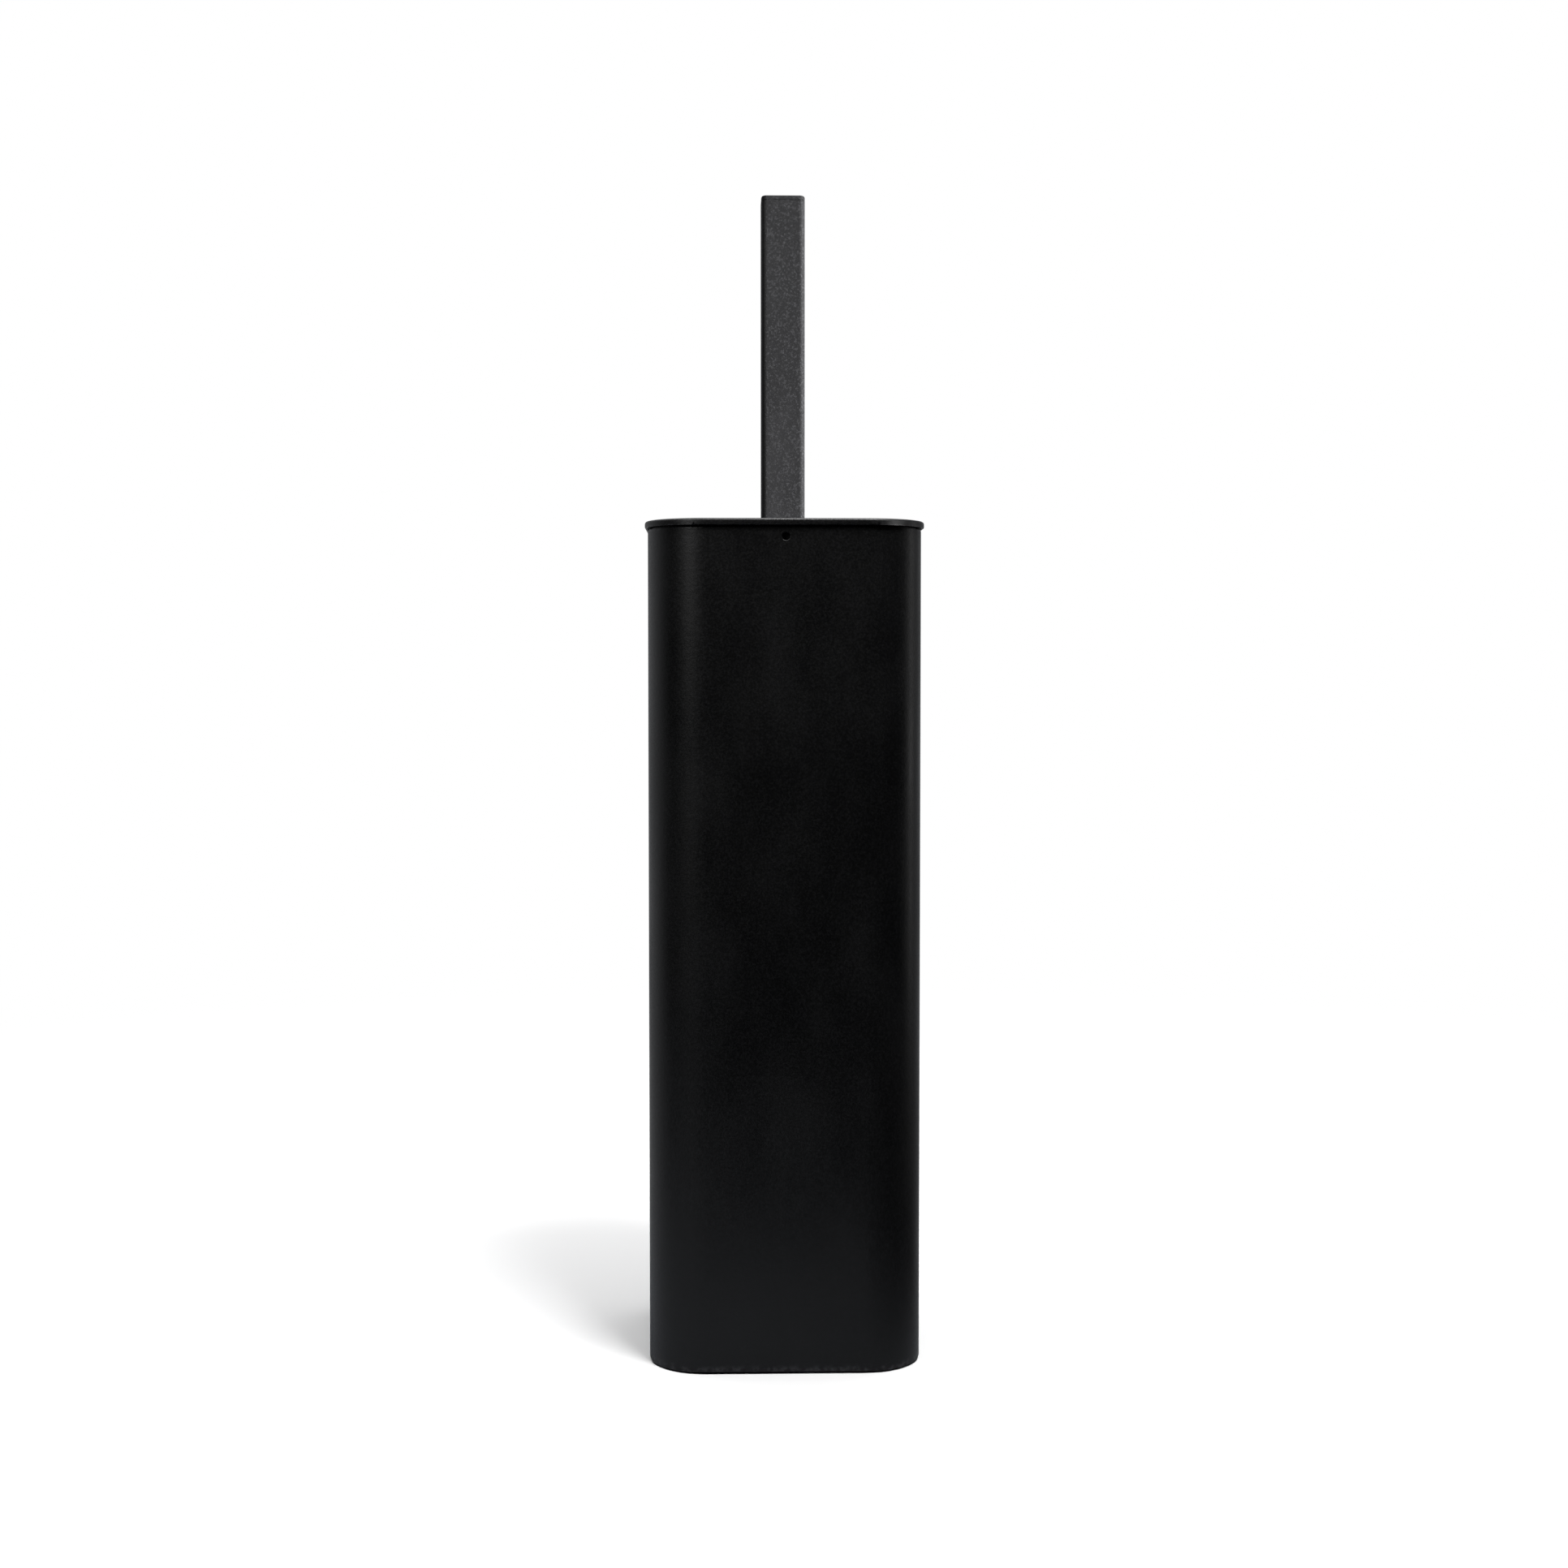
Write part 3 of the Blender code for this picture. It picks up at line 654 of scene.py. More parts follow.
# %% Seats for the pads, and two crossed ribs between them
PAD_RADIUS = 6 * MM
PAD_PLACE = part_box("foot_pad_back_right")[1].x - PAD_RADIUS
BOSS_RADIUS, BOSS_HEIGHT = PAD_RADIUS + 1.6 * MM, 0.3 * MM
SEAT_RADIUS, SEAT_DEPTH = PAD_RADIUS + 0.3 * MM, 0.8 * MM
RIB_LENGTH, RIB_WIDTH, RIB_HEIGHT = 2 * PAD_PLACE - 14 * MM, 1.2 * MM, 0.7 * MM
PAST = 1 * MM  # how far a drill reaches past what it cuts
CORNERS = {
    "front_left": (-1, -1),
    "front_right": (1, -1),
    "back_left": (-1, 1),
    "back_right": (1, 1),
}
panel = low.z + PANEL_DEPTH
for side_x, side_y in CORNERS.values():
    x, y = side_x * PAD_PLACE, side_y * PAD_PLACE
    # The boss starts a hair above the foot rim's face, so that no two faces lie in one plane.
    boss = round_bar("boss", BOSS_RADIUS, low.z + NEAR, panel + BOSS_HEIGHT, x, y)
    apply_boolean(tray, boss, "UNION")
    seat = round_bar("seat", SEAT_RADIUS, low.z - PAST, low.z + SEAT_DEPTH, x, y)
    apply_boolean(tray, seat)
for size in ((RIB_WIDTH, RIB_LENGTH, RIB_HEIGHT), (RIB_LENGTH, RIB_WIDTH, RIB_HEIGHT)):
    apply_boolean(tray, flat_bar("rib", size, panel - 0.03 * MM), "UNION")
hand_over(tray, TRAY_PLASTIC, "moulded_plastic_black", "holder", "base_tray")

# %% [markdown]
# ## The foot pads
# Each pad is a 12 mm disc of rubber. Its face is moulded with a raised ring, which grips and lets
# water out from under it. It starts as a cylinder, and two insets draw the ring.

# %% One pad for each corner
GRIP_RING = 2.0 * MM
GROOVE_WIDTH, GROOVE_DEPTH = 1.2 * MM, 0.35 * MM
MIDDLE_RISE = 0.30 * MM
PAD_ROUNDING = 0.18 * MM
for corner, (side_x, side_y) in CORNERS.items():
    node = "foot_pad_" + corner
    low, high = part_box(node)
    x, y = side_x * PAD_PLACE, side_y * PAD_PLACE
    pad = round_bar("rubber_pad_" + corner, PAD_RADIUS, low.z, high.z, x, y)
    bpy.ops.object.mode_set(mode="EDIT")
    draw_in(pad, low.z, -1, GRIP_RING, GROOVE_DEPTH)
    draw_in(pad, low.z + GROOVE_DEPTH, -1, GROOVE_WIDTH, -MIDDLE_RISE)
    pick(pad, "EDGE", lambda edge: all(point.co.z < low.z + 0.1 * MM for point in edge.verts))
    bpy.ops.mesh.bevel(offset=PAD_ROUNDING, segments=2, affect="EDGES")
    hand_over(pad, RUBBER, "pad_rubber", "holder", node)

# %% [markdown]
# ## The lift-out bucket
# The bucket catches the drips and lifts out to be rinsed. It is moulded with a slight taper, so that
# it comes off its mould, and a rim that hangs over its wall. It is drawn from the rim: down the outside
# to the foot, then down the inside to the floor. Foot, floor and rim are rounded, as no moulding has a
# sharp edge and a sharp corner could not be wiped clean.

# %% Bucket walls
low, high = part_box("inner_bucket")
BUCKET_TOP, BUCKET_FOOT = high.z, low.z
RIM_HALF = high.x
RIM_LIP, RIM_DEPTH = 0.9 * MM, 1.6 * MM
BUCKET_WALL, BUCKET_BOTTOM = 1.6 * MM, 2 * MM
FOOT_DRAFT = 42.3 / 43.8  # the wall's half width at the foot, over that under the rim
rim_radius = SHELL_RADIUS - (SHELL_HALF - RIM_HALF)
rim_under = BUCKET_TOP - RIM_DEPTH
bucket_floor = BUCKET_FOOT + BUCKET_BOTTOM
bucket = rounded_block("lift_out_bucket", RIM_HALF, rim_radius, rim_under, BUCKET_TOP, 24)
draw_in(bucket, rim_under, -1, RIM_LIP, BUCKET_FOOT - rim_under, FOOT_DRAFT)
draw_in(bucket, BUCKET_TOP, 1, RIM_LIP + BUCKET_WALL, bucket_floor - BUCKET_TOP, FOOT_DRAFT)

# %% Bucket edges and the drip ring on its floor
RING_INSET, RING_SLOPE, RING_TOP, RING_HEIGHT = 9 * MM, 1.2 * MM, 1.4 * MM, 0.5 * MM
round_edges(bucket, edges_at(BUCKET_FOOT), 1.6 * MM, 4)
round_edges(bucket, edges_at(bucket_floor), 4.0 * MM, 6)
round_edges(bucket, edges_at(BUCKET_TOP), 0.45 * MM, 3)
round_edges(bucket, edges_at(rim_under, RIM_HALF - 0.2 * MM), 0.35 * MM, 2)
pick(bucket, "FACE", faces_up(bucket_floor))
bpy.ops.mesh.inset(thickness=RING_INSET, depth=0)
bpy.ops.mesh.inset(thickness=RING_SLOPE, depth=RING_HEIGHT)
bpy.ops.mesh.inset(thickness=RING_TOP, depth=0)
bpy.ops.mesh.inset(thickness=RING_SLOPE, depth=-RING_HEIGHT)
hand_over(bucket, BUCKET_PLASTIC, "bucket_plastic", "bucket", "inner_bucket")

# %% [markdown]
# ## The lid
# The lid is pressed from 0.8 mm sheet: a shallow pan, upside down, that stands 1 mm proud of the
# canister all round. What shows of it is its rim, so both edges of the rim are rolled, as pressing
# leaves them, and the upper one catches a thin line of light.

# %% Lid pan
LID_TOP, LID_FOOT = lid_high.z, lid_low.z
LID_SHEET = 0.8 * MM
TOP_ROLL, FOOT_ROLL = 0.85 * MM, 0.38 * MM
STUD_BORE = 3.3 * MM
lid = rounded_block("pressed_lid_pan", LID_HALF, LID_RADIUS, LID_FOOT, LID_TOP, 32)
draw_in(lid, LID_FOOT, -1, LID_SHEET, LID_TOP - LID_SHEET - LID_FOOT)
round_edges(lid, edges_at(LID_TOP), TOP_ROLL, 5)
round_edges(lid, edges_at(LID_FOOT, LID_HALF - LID_SHEET / 2), FOOT_ROLL, 3)
apply_boolean(lid, round_bar("drill", STUD_BORE, LID_FOOT, LID_TOP + 5 * MM))
hand_over(lid, LID_COAT, "powder_coat_black", "brush", "lid_cap")

# %% [markdown]
# ## The insert under the lid
# A moulded insert fills the pan, rests on the bucket's rim and reaches into its mouth, which centres
# the lid. Seen from below with the brush lifted out, it has the ribs of a thin moulding: a ring round
# the nut, and eight ribs out to the skirt. The ribs are joined to it with booleans, so that the insert
# stays one closed body.

# %% Insert plate, step and skirt
low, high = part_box("lid_insert")
INSERT_HALF, INSERT_RIM = high.x, 1.5 * MM
SKIRT_HALF, SKIRT_WALL = 41.6 * MM, 1.6 * MM
insert_radius = LID_RADIUS - (LID_HALF - INSERT_HALF)
insert_step = BUCKET_TOP + 0.3 * MM
step_half = INSERT_HALF - INSERT_RIM
insert = rounded_block("lid_insert_moulding", INSERT_HALF, insert_radius, LID_FOOT, high.z, 20)
draw_in(insert, LID_FOOT, -1, INSERT_RIM, insert_step - LID_FOOT)
draw_in(insert, insert_step, -1, step_half - SKIRT_HALF, low.z - insert_step)
draw_in(insert, low.z, -1, SKIRT_WALL, insert_step - low.z)
round_edges(insert, edges_at(low.z), 0.4 * MM, 2)
bpy.ops.object.mode_set(mode="OBJECT")

# %% Ribs and the ring round the nut
RING_RADIUS, RING_BORE = 11 * MM, 9.4 * MM
ACROSS, CORNERWISE = 2 * (SKIRT_HALF - 1.0 * MM), 2 * 48 * MM
rib_foot = low.z + 2.2 * MM
rib_top = insert_step + 0.1 * MM
ring = round_bar("ring", RING_RADIUS, rib_foot, insert_step + 0.2 * MM, steps=64)
apply_boolean(ring, round_bar("ring_bore", RING_BORE, rib_foot - PAST, insert_step + PAST, steps=64))
apply_boolean(insert, ring, "UNION")
for step in range(4):
    # One bar crosses the whole skirt, so four bars at 45 degrees make eight ribs.
    size = (CORNERWISE if step % 2 else ACROSS, RIB_WIDTH, rib_top - rib_foot)
    rib = flat_bar("rib", size, (rib_foot + rib_top) / 2, 45 * step)
    middle_of_ring = (RING_RADIUS + RING_BORE) / 2
    apply_boolean(rib, round_bar("gap", middle_of_ring, rib_foot - PAST, insert_step + PAST, steps=64))
    apply_boolean(insert, rib, "UNION")
apply_boolean(insert, round_bar("drill", STUD_BORE, low.z, high.z + 5 * MM))
hand_over(insert, TRAY_PLASTIC, "moulded_plastic_black", "brush", "lid_insert")

# %% [markdown]
# ## Washer and nut
# A washer and a hexagon nut clamp the insert and the lid against the handle. A real nut's corners are
# turned off at both ends, which leaves a curved line on each flat. Crossing a hexagonal bar with a
# bevelled round one gives that line at once.

# %% Washer


def drill_for_stud(piece, low, high):
    """Drills a piece right through for the rod's threaded stud."""
    apply_boolean(piece, round_bar("drill", STUD_BORE, low.z - PAST, high.z + PAST))


low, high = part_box("clamp_washer")
washer = round_bar("steel_clamp_washer", high.x, low.z, high.z, steps=64)
bpy.ops.object.mode_set(mode="EDIT")
for level in (high.z, low.z):
    round_edges(washer, edges_at(level), 0.2 * MM, 2)
drill_for_stud(washer, low, high)
hand_over(washer, TURNED_STEEL, "stainless_steel", "brush", "clamp_washer")

# %% Nut
low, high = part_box("clamp_nut")
NUT_CHAMFER = 0.62 * MM
nut = round_bar("steel_clamp_nut", high.y, low.z, high.z, steps=6)
turning = round_bar("turning", high.y, low.z, high.z, steps=64)
bpy.ops.object.mode_set(mode="EDIT")
for level in (high.z, low.z):
    round_edges(turning, edges_at(level), NUT_CHAMFER, 1)
apply_boolean(nut, turning, "INTERSECT")
drill_for_stud(nut, low, high)
hand_over(nut, TURNED_STEEL, "stainless_steel", "brush", "clamp_nut", smooth=20)

# %% [markdown]
# ## The handle
# The handle is a square steel tube with small corner radii, coated like the canister but greyer and
# duller. It is a sleeve like the canister: a rounded block, opened at both ends and given a wall.

# %% Handle tube
low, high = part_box("handle_tube")
TUBE_WALL = 1.2 * MM
TUBE_TOP = high.z
outer_edge = HANDLE_HALF - TUBE_WALL / 2
tube = rounded_block("square_handle_tube", HANDLE_HALF, HANDLE_RADIUS, low.z, TUBE_TOP, 10)
open_sleeve(tube, TUBE_WALL)
round_edges(tube, edges_at(TUBE_TOP, outer_edge), 0.12 * MM, 2)
round_edges(tube, edges_at(low.z, outer_edge), 0.22 * MM, 2)
hand_over(tube, HANDLE_COAT, "powder_coat_handle", "brush", "handle_tube")

# %% [markdown]
# ## The end cap
# The tube's open top takes a cap: a flange as wide as the tube, and a hollow plug that grips inside it.
# The fine seam just below the top of the handle is where the flange meets the tube. It could be a
# groove in one piece. Two pieces with a hair between them and softly rounded edges give a truer line.

# %% End cap
low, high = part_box("handle_end_cap")
SEAM = 0.08 * MM
PLUG_WALL = 1.4 * MM
CAP_ROUNDING = 0.8 * MM
cap_under = TUBE_TOP + SEAM
cap = rounded_block("handle_end_cap_moulding", HANDLE_HALF, HANDLE_RADIUS, cap_under, high.z, 10)
plug_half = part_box("handle_socket")[1].x
pick(cap, "FACE", faces_up(cap_under, -1))
pull(0, plug_half / HANDLE_HALF)
pull(low.z - cap_under)
pull(0, (plug_half - PLUG_WALL) / plug_half)
pull(cap_under - low.z)
round_edges(cap, edges_at(high.z), CAP_ROUNDING, 5)
round_edges(cap, edges_at(cap_under, HANDLE_HALF - 0.2 * MM), 0.12 * MM, 2)
hand_over(cap, HANDLE_COAT, "powder_coat_handle", "brush", "handle_end_cap")

# %% [markdown]
# ## The socket
# A tube this thin can't hold a thread, so a block of aluminium is pressed into its foot, milled to the
# tube's inside and drilled and tapped for the rod's stud. Its edges are chamfered so that it starts
# straight.

# %% Socket
low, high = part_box("handle_socket")
socket = rounded_block("milled_handle_socket", high.x, 1.1 * MM, low.z, high.z, 6)
for level in (high.z, low.z):
    round_edges(socket, edges_at(level), 0.4 * MM, 1)
drill_for_stud(socket, low, high)
hand_over(socket, MILLED_ALUMINIUM, "socket_aluminium", "brush", "handle_socket", smooth=25)

# %% [markdown]
# ## The rod and its threads
# The rod is 8 mm round bar with a thinner threaded stud at each end. The head screws on the lower one.
# Its thread is coarse, 2.5 mm a turn, so that four turns take the head off. A thread is a groove
# that climbs as it goes round. It could be a screw modifier on a tooth's outline, but its ends then
# have to be closed by hand. Here the stud's side is cut into many rings, and each point is moved out
# or in by how far it has got round and up, so the bar stays one closed body.

# %% Rod with plain studs
low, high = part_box("shaft_rod")
ROD_RADIUS = high.x
STUD_RADIUS = 3 * MM
SEAT_GAP = 0.3 * MM
rod_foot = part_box("neck_washer")[1].z + SEAT_GAP
rod_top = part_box("clamp_nut")[0].z - SEAT_GAP
rod = round_bar("brush_rod", ROD_RADIUS, rod_foot, rod_top)
bpy.ops.object.mode_set(mode="EDIT")
stud_share = STUD_RADIUS / ROD_RADIUS
for z, up, end in ((rod_top, 1, high.z), (rod_foot, -1, low.z)):
    pick(rod, "FACE", faces_up(z, up))
    pull(0, stud_share)
    pull(end - z)
for level in (rod_top, rod_foot):
    round_edges(rod, edges_at(level, ROD_RADIUS - NEAR), 0.35 * MM, 2)

# %% Threads
FLANK = 1.6
RUNOUT = 0.6 * MM


def cut_thread(piece, bottom, top, pitch, rings, depth):
    """Cuts a stud's upright edges into rings, and moves their points to a climbing groove.
    FLANK sets how steep the groove's sides are. It gets shallower over RUNOUT at both ends."""

    def stud_side(edge):
        ends = sorted(point.co.z for point in edge.verts)
        slim = all(math.hypot(point.co.x, point.co.y) < STUD_RADIUS + NEAR for point in edge.verts)
        return slim and abs(ends[0] - bottom) < NEAR and abs(ends[1] - top) < NEAR

    pick(piece, "EDGE", stud_side)
    bpy.ops.mesh.subdivide(number_cuts=rings)
    shape = bmesh.from_edit_mesh(piece.data)
    for point in shape.verts:
        radius = math.hypot(point.co.x, point.co.y)
        if bottom - NEAR <= point.co.z <= top + NEAR and abs(radius - STUD_RADIUS) < NEAR:
            turn = (point.co.z - bottom) / pitch - math.atan2(point.co.y, point.co.x) / math.tau
            tooth = abs(2 * (turn % 1.0) - 1)
            crest = min(1.0, FLANK * tooth)
            from_end = min(point.co.z - bottom, top - point.co.z)
            cut = max(1 - crest, 1 - from_end / RUNOUT)
            share = (radius - depth * cut) / radius
            point.co.x *= share
            point.co.y *= share
    bmesh.update_edit_mesh(piece.data)


cut_thread(rod, low.z, rod_foot, pitch=2.5 * MM, rings=70, depth=0.55 * MM)
cut_thread(rod, rod_top, high.z, pitch=1.0 * MM, rings=140, depth=0.35 * MM)
hand_over(rod, ROD_STEEL, "stainless_steel", "brush", "shaft_rod", smooth=50, weigh=False)

# %% [markdown]
# ## The seal
# A rubber ring between the rod's shoulder and the head keeps water out of the thread. It stays on the
# head when that is screwed off. Both its rims are well rounded, as rubber comes out of a mould.

# %% Sealing washer between the rod and the head
low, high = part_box("neck_washer")
seal = round_bar("rubber_neck_seal", high.x, low.z, high.z, steps=56)
bpy.ops.object.mode_set(mode="EDIT")
for level in (high.z, low.z):
    round_edges(seal, edges_at(level), 0.3 * MM, 3)
drill_for_stud(seal, low, high)
hand_over(seal, RUBBER, "pad_rubber", "neck_seal", "neck_washer")

# %% [markdown]
# ## The core of the brush head
# The core is one moulding: a round spindle with a neck. A machine drills it and punches a folded tuft
# of filaments into each hole. Drilling 168 holes with booleans would be slow, so the spindle is a
# cylinder with exactly one face for each place a hole may be. Every second face in each ring is inset
# and pushed in. The holes are four-sided, which the tufts hide.

# %% Spindle with a neck and a blind hole
low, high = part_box("brush_core")
CORE_RADIUS = high.x
COLUMNS = 28
ROWS = 6
NECK_RADIUS, NECK_SLOPE = 7 * MM, 3 * MM
BLIND_HOLE = 10.1 * MM
row_boxes = [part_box("bristle_row_%d" % (row + 1)) for row in range(ROWS)]
ROW_PITCH = row_boxes[1][0].z - row_boxes[0][0].z
core_start = row_boxes[0][0].z - 1.25 * MM
core_shoulder = core_start + ROWS * ROW_PITCH
core = round_bar("brush_head_core", CORE_RADIUS, core_start, core_shoulder, steps=COLUMNS)
bpy.ops.object.mode_set(mode="EDIT")
pick(core, "EDGE", lambda edge: abs(edge.verts[0].co.z - edge.verts[1].co.z) > NEAR)
bpy.ops.mesh.subdivide(number_cuts=2 * ROWS - 1)
pick(core, "FACE", faces_up(core_shoulder))
pull(NECK_SLOPE, NECK_RADIUS / CORE_RADIUS)
pull(high.z - core_shoulder - NECK_SLOPE)
bpy.ops.mesh.inset(thickness=NECK_RADIUS - STUD_BORE, depth=0)
pull(-BLIND_HOLE)

# %% Rounded end of the core
DOME_STEPS = 6
dome_radius = CORE_RADIUS / 2
straight = core_start - (low.z + dome_radius)
pick(core, "FACE", faces_up(core_start, -1))
pull(-straight)
before = CORE_RADIUS
for step in range(1, DOME_STEPS + 1):
    angle = math.radians(90) * step / DOME_STEPS
    sunk = dome_radius * (math.sin(angle) - math.sin(angle - math.radians(90) / DOME_STEPS))
    after = CORE_RADIUS - dome_radius * (1 - math.cos(angle))
    pull(-sunk, after / before)
    before = after

# %% Tuft holes


def hole_places():
    """The angle and the height of every tuft hole: each ring uses every second face, in turn."""
    ring_height = ROW_PITCH / 2
    for ring_number in range(2 * ROWS):
        z = core_start + (ring_number + 0.5) * ring_height
        for column in range(ring_number % 2, COLUMNS, 2):
            yield ring_number // 2, math.tau * (column + 0.5) / COLUMNS, z


HOLES = list(hole_places())


def hole_key(angle, z):
    """Column and ring number of a place on the core, whatever turn the angle is given in."""
    column = math.floor((angle % math.tau) / math.tau * COLUMNS)
    return column, math.floor((z - core_start) / (ROW_PITCH / 2))


hole_keys = {hole_key(angle, z) for _, angle, z in HOLES}


def takes_tuft(face):
    middle = face.calc_center_median()
    if abs(face.normal.z) > 0.1 or not core_start < middle.z < core_shoulder:
        return False
    return hole_key(math.atan2(middle.y, middle.x), middle.z) in hole_keys


print("tuft holes:", pick(core, "FACE", takes_tuft), "of", len(HOLES))
# The land between two holes, the slope into each hole, and the hole's own wall.
for inset, depth in ((0.25 * MM, 0), (0.12 * MM, -0.35 * MM), (0.05 * MM, -1.2 * MM)):
    bpy.ops.mesh.inset(thickness=inset, depth=depth, use_individual=True)
hand_over(core, CORE_PLASTIC, "brush_plastic", "brush_head", "brush_core", smooth=40)

# %% [markdown]
# ## The bristles
# A tuft is a bundle of some two dozen filaments, tight at its hole and fanned out at its tips. One solid
# ring per row would look like felt. A hair system would have to be turned into a mesh anyway. So one
# filament is modelled, a four-sided wire of three lengths, and copied into every tuft with a small
# lean and bow of its own. The random numbers start from a fixed seed, so the head is always the same.
# Real filaments are 0.3 mm thick. They are drawn at 0.42 mm, because fewer are drawn than are real.

# %% One filament
nothing_selected()
bpy.ops.mesh.primitive_cylinder_add(vertices=4, radius=1.0, depth=1.0, location=(0, 0, 0.5))
filament = start_piece("filament")
pick(filament, "EDGE", lambda edge: abs(edge.verts[0].co.z - edge.verts[1].co.z) > 0.5)
bpy.ops.mesh.subdivide(number_cuts=2)
pick(filament, "FACE", faces_up(1.0))
bpy.ops.transform.resize(value=(0.7, 0.7, 1))
bpy.ops.object.mode_set(mode="OBJECT")
FILAMENT_POINTS = np.array([point.co for point in filament.data.vertices])
FILAMENT_FACES = [list(face.vertices) for face in filament.data.polygons]
bpy.data.objects.remove(filament)
print("a filament has", len(FILAMENT_FACES), "faces")

# %% Tufts
FILAMENTS_IN_TUFT = 26
GOLDEN_ANGLE = 2.39996
FILAMENT_RADIUS = 0.21 * MM
HEAD_RADIUS = row_boxes[0][1].x
dice = random.Random(7)


def spiral(count):
    """Points that fill a disc of radius 1 evenly, as seeds fill a sunflower."""
    for number in range(count):
        radius = math.sqrt((number + 0.5) / count)
        turn = GOLDEN_ANGLE * number
        yield radius * math.cos(turn), radius * math.sin(turn)


def wobble(most):
    """A small random amount, as much one way as the other."""
    return dice.uniform(-most, most)


def place_filament(root, tip, bow):
    """The filament's points, laid from root to tip and bowed sideways a little."""
    along = np.array(tip) - np.array(root)
    length = np.linalg.norm(along)
    along = along / length
    side = np.cross(along, (0.0, 0.0, 1.0) if abs(along[2]) < 0.9 else (1.0, 0.0, 0.0))
    side = side / np.linalg.norm(side)
    across = np.cross(along, side)
    t = FILAMENT_POINTS[:, 2:3]
    points = np.array(root) + t * length * along + FILAMENT_RADIUS * (
        FILAMENT_POINTS[:, 0:1] * side + FILAMENT_POINTS[:, 1:2] * across
    )
    return points + 4 * t * (1 - t) * np.array(bow)


def tuft_object(name, filaments):
    """One mesh of many filaments."""
    points = np.vstack(filaments)
    count = len(FILAMENT_POINTS)
    faces = [
        [index + count * number for index in face]
        for number in range(len(filaments))
        for face in FILAMENT_FACES
    ]
    mesh = bpy.data.meshes.new(name)
    mesh.from_pydata(points.tolist(), [], faces)
    mesh.update()
    tufts = bpy.data.objects.new(name, mesh)
    bpy.context.scene.collection.objects.link(tufts)
    return tufts


# %% Six rows of tufts
ROOT_SPREAD = 0.62 * MM
ROOT_RADIUS = CORE_RADIUS - 1.0 * MM
FAN_ROUND = 0.165
FAN_UP = 1.75 * MM
GATHER = 0.80  # the tips of a row lie closer together than its holes, which leaves a gap between rows
for row, (row_low, row_high) in enumerate(row_boxes):
    filaments = []
    middle = (row_low.z + row_high.z) / 2
    for hole_row, angle, z in HOLES:
        if hole_row != row:
            continue
        out = np.array((math.cos(angle), math.sin(angle), 0.0))
        round_way = np.array((-math.sin(angle), math.cos(angle), 0.0))
        tip_z = middle + (z - middle) * GATHER
        lean = wobble(0.035)
        for a, b in spiral(FILAMENTS_IN_TUFT):
            root = out * ROOT_RADIUS + round_way * a * ROOT_SPREAD + np.array((0, 0, z + b * ROOT_SPREAD))
            swing = lean + a * FAN_ROUND + wobble(0.022)
            radius = HEAD_RADIUS - dice.uniform(0.05, 1.1) * MM - FILAMENT_RADIUS
            rise = b * FAN_UP + wobble(0.35) * MM
            tip = radius * (out * math.cos(swing) + round_way * math.sin(swing))
            tip[2] = tip_z + rise
            bow = np.array((0, 0, wobble(0.25) * MM)) + round_way * wobble(0.4) * MM
            filaments.append(place_filament(root, tip, bow))
    node = "bristle_row_%d" % (row + 1)
    tufts = tuft_object("nylon_tufts_row_%d" % (row + 1), filaments)
    hand_over(tufts, BRISTLE, "bristle_nylon", "brush_head", node, smooth=60, weigh=False)

# %% [markdown]
# The tufts on the core's rounded end point every way from sideways to straight down. A maker trims
# them to a dome. Here each filament is walked outwards in small steps until it meets that dome.

# %% How far a filament can go at the rounded end
tip_low, tip_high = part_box("bristle_tip")
DOME_TOP = tip_low.z + 15 * MM
LONGEST = 40 * MM


def dome_reach(root, heading):
    """How far a filament can go from its root before it meets the trimmed outline of the head."""
    step, reached = 0.1 * MM, 0.0
    while reached < LONGEST:
        reached += step
        point = root + heading * reached
        radius = math.hypot(point[0], point[1]) / HEAD_RADIUS
        depth = max(0.0, DOME_TOP - point[2]) / (DOME_TOP - tip_low.z)
        if radius * radius + depth * depth > 1.0 or point[2] > tip_high.z:
            return reached - step
    return reached


# %% Tufts on the rounded end
# Each ring of tufts: its tilt from straight down in degrees, its number of tufts, and its turn in
# parts of the step from one tuft to the next.
TIP_RINGS = ((0, 1, 0.0), (24, 6, 0.3), (47, 11, 0.1), (68, 14, 0.25), (84, 14, 0.0))
filaments = []
for tilt, count, turn in TIP_RINGS:
    tilt = math.radians(tilt)
    for number in range(count):
        angle = math.tau * (number + turn) / count
        out = np.array((math.cos(angle), math.sin(angle), 0.0))
        round_way = np.array((-math.sin(angle), math.cos(angle), 0.0))
        heading = out * math.sin(tilt) + np.array((0, 0, -math.cos(tilt)))
        seat = np.array((0.0, 0.0, low.z + dome_radius + 0.5 * MM))
        seat = seat + out * (CORE_RADIUS - dome_radius) * min(1.0, math.sin(tilt) * 1.1)
        seat = seat + heading * (dome_radius - 1.0 * MM)
        across = np.cross(heading, round_way)
        for a, b in spiral(FILAMENTS_IN_TUFT):
            root = seat + (round_way * a + across * b) * ROOT_SPREAD
            aim = heading + round_way * (a * 0.20 + wobble(0.02))
            aim = aim + across * (b * 0.13 + wobble(0.02))
            aim = aim / np.linalg.norm(aim)
            length = dome_reach(root, aim) - dice.uniform(0.1, 1.0) * MM - FILAMENT_RADIUS
            bow = round_way * wobble(0.3) * MM
            filaments.append(place_filament(root, root + aim * length, bow))
tip_tufts = tuft_object("nylon_tufts_tip", filaments)
hand_over(tip_tufts, BRISTLE, "bristle_nylon", "brush_head", "bristle_tip", smooth=60, weigh=False)

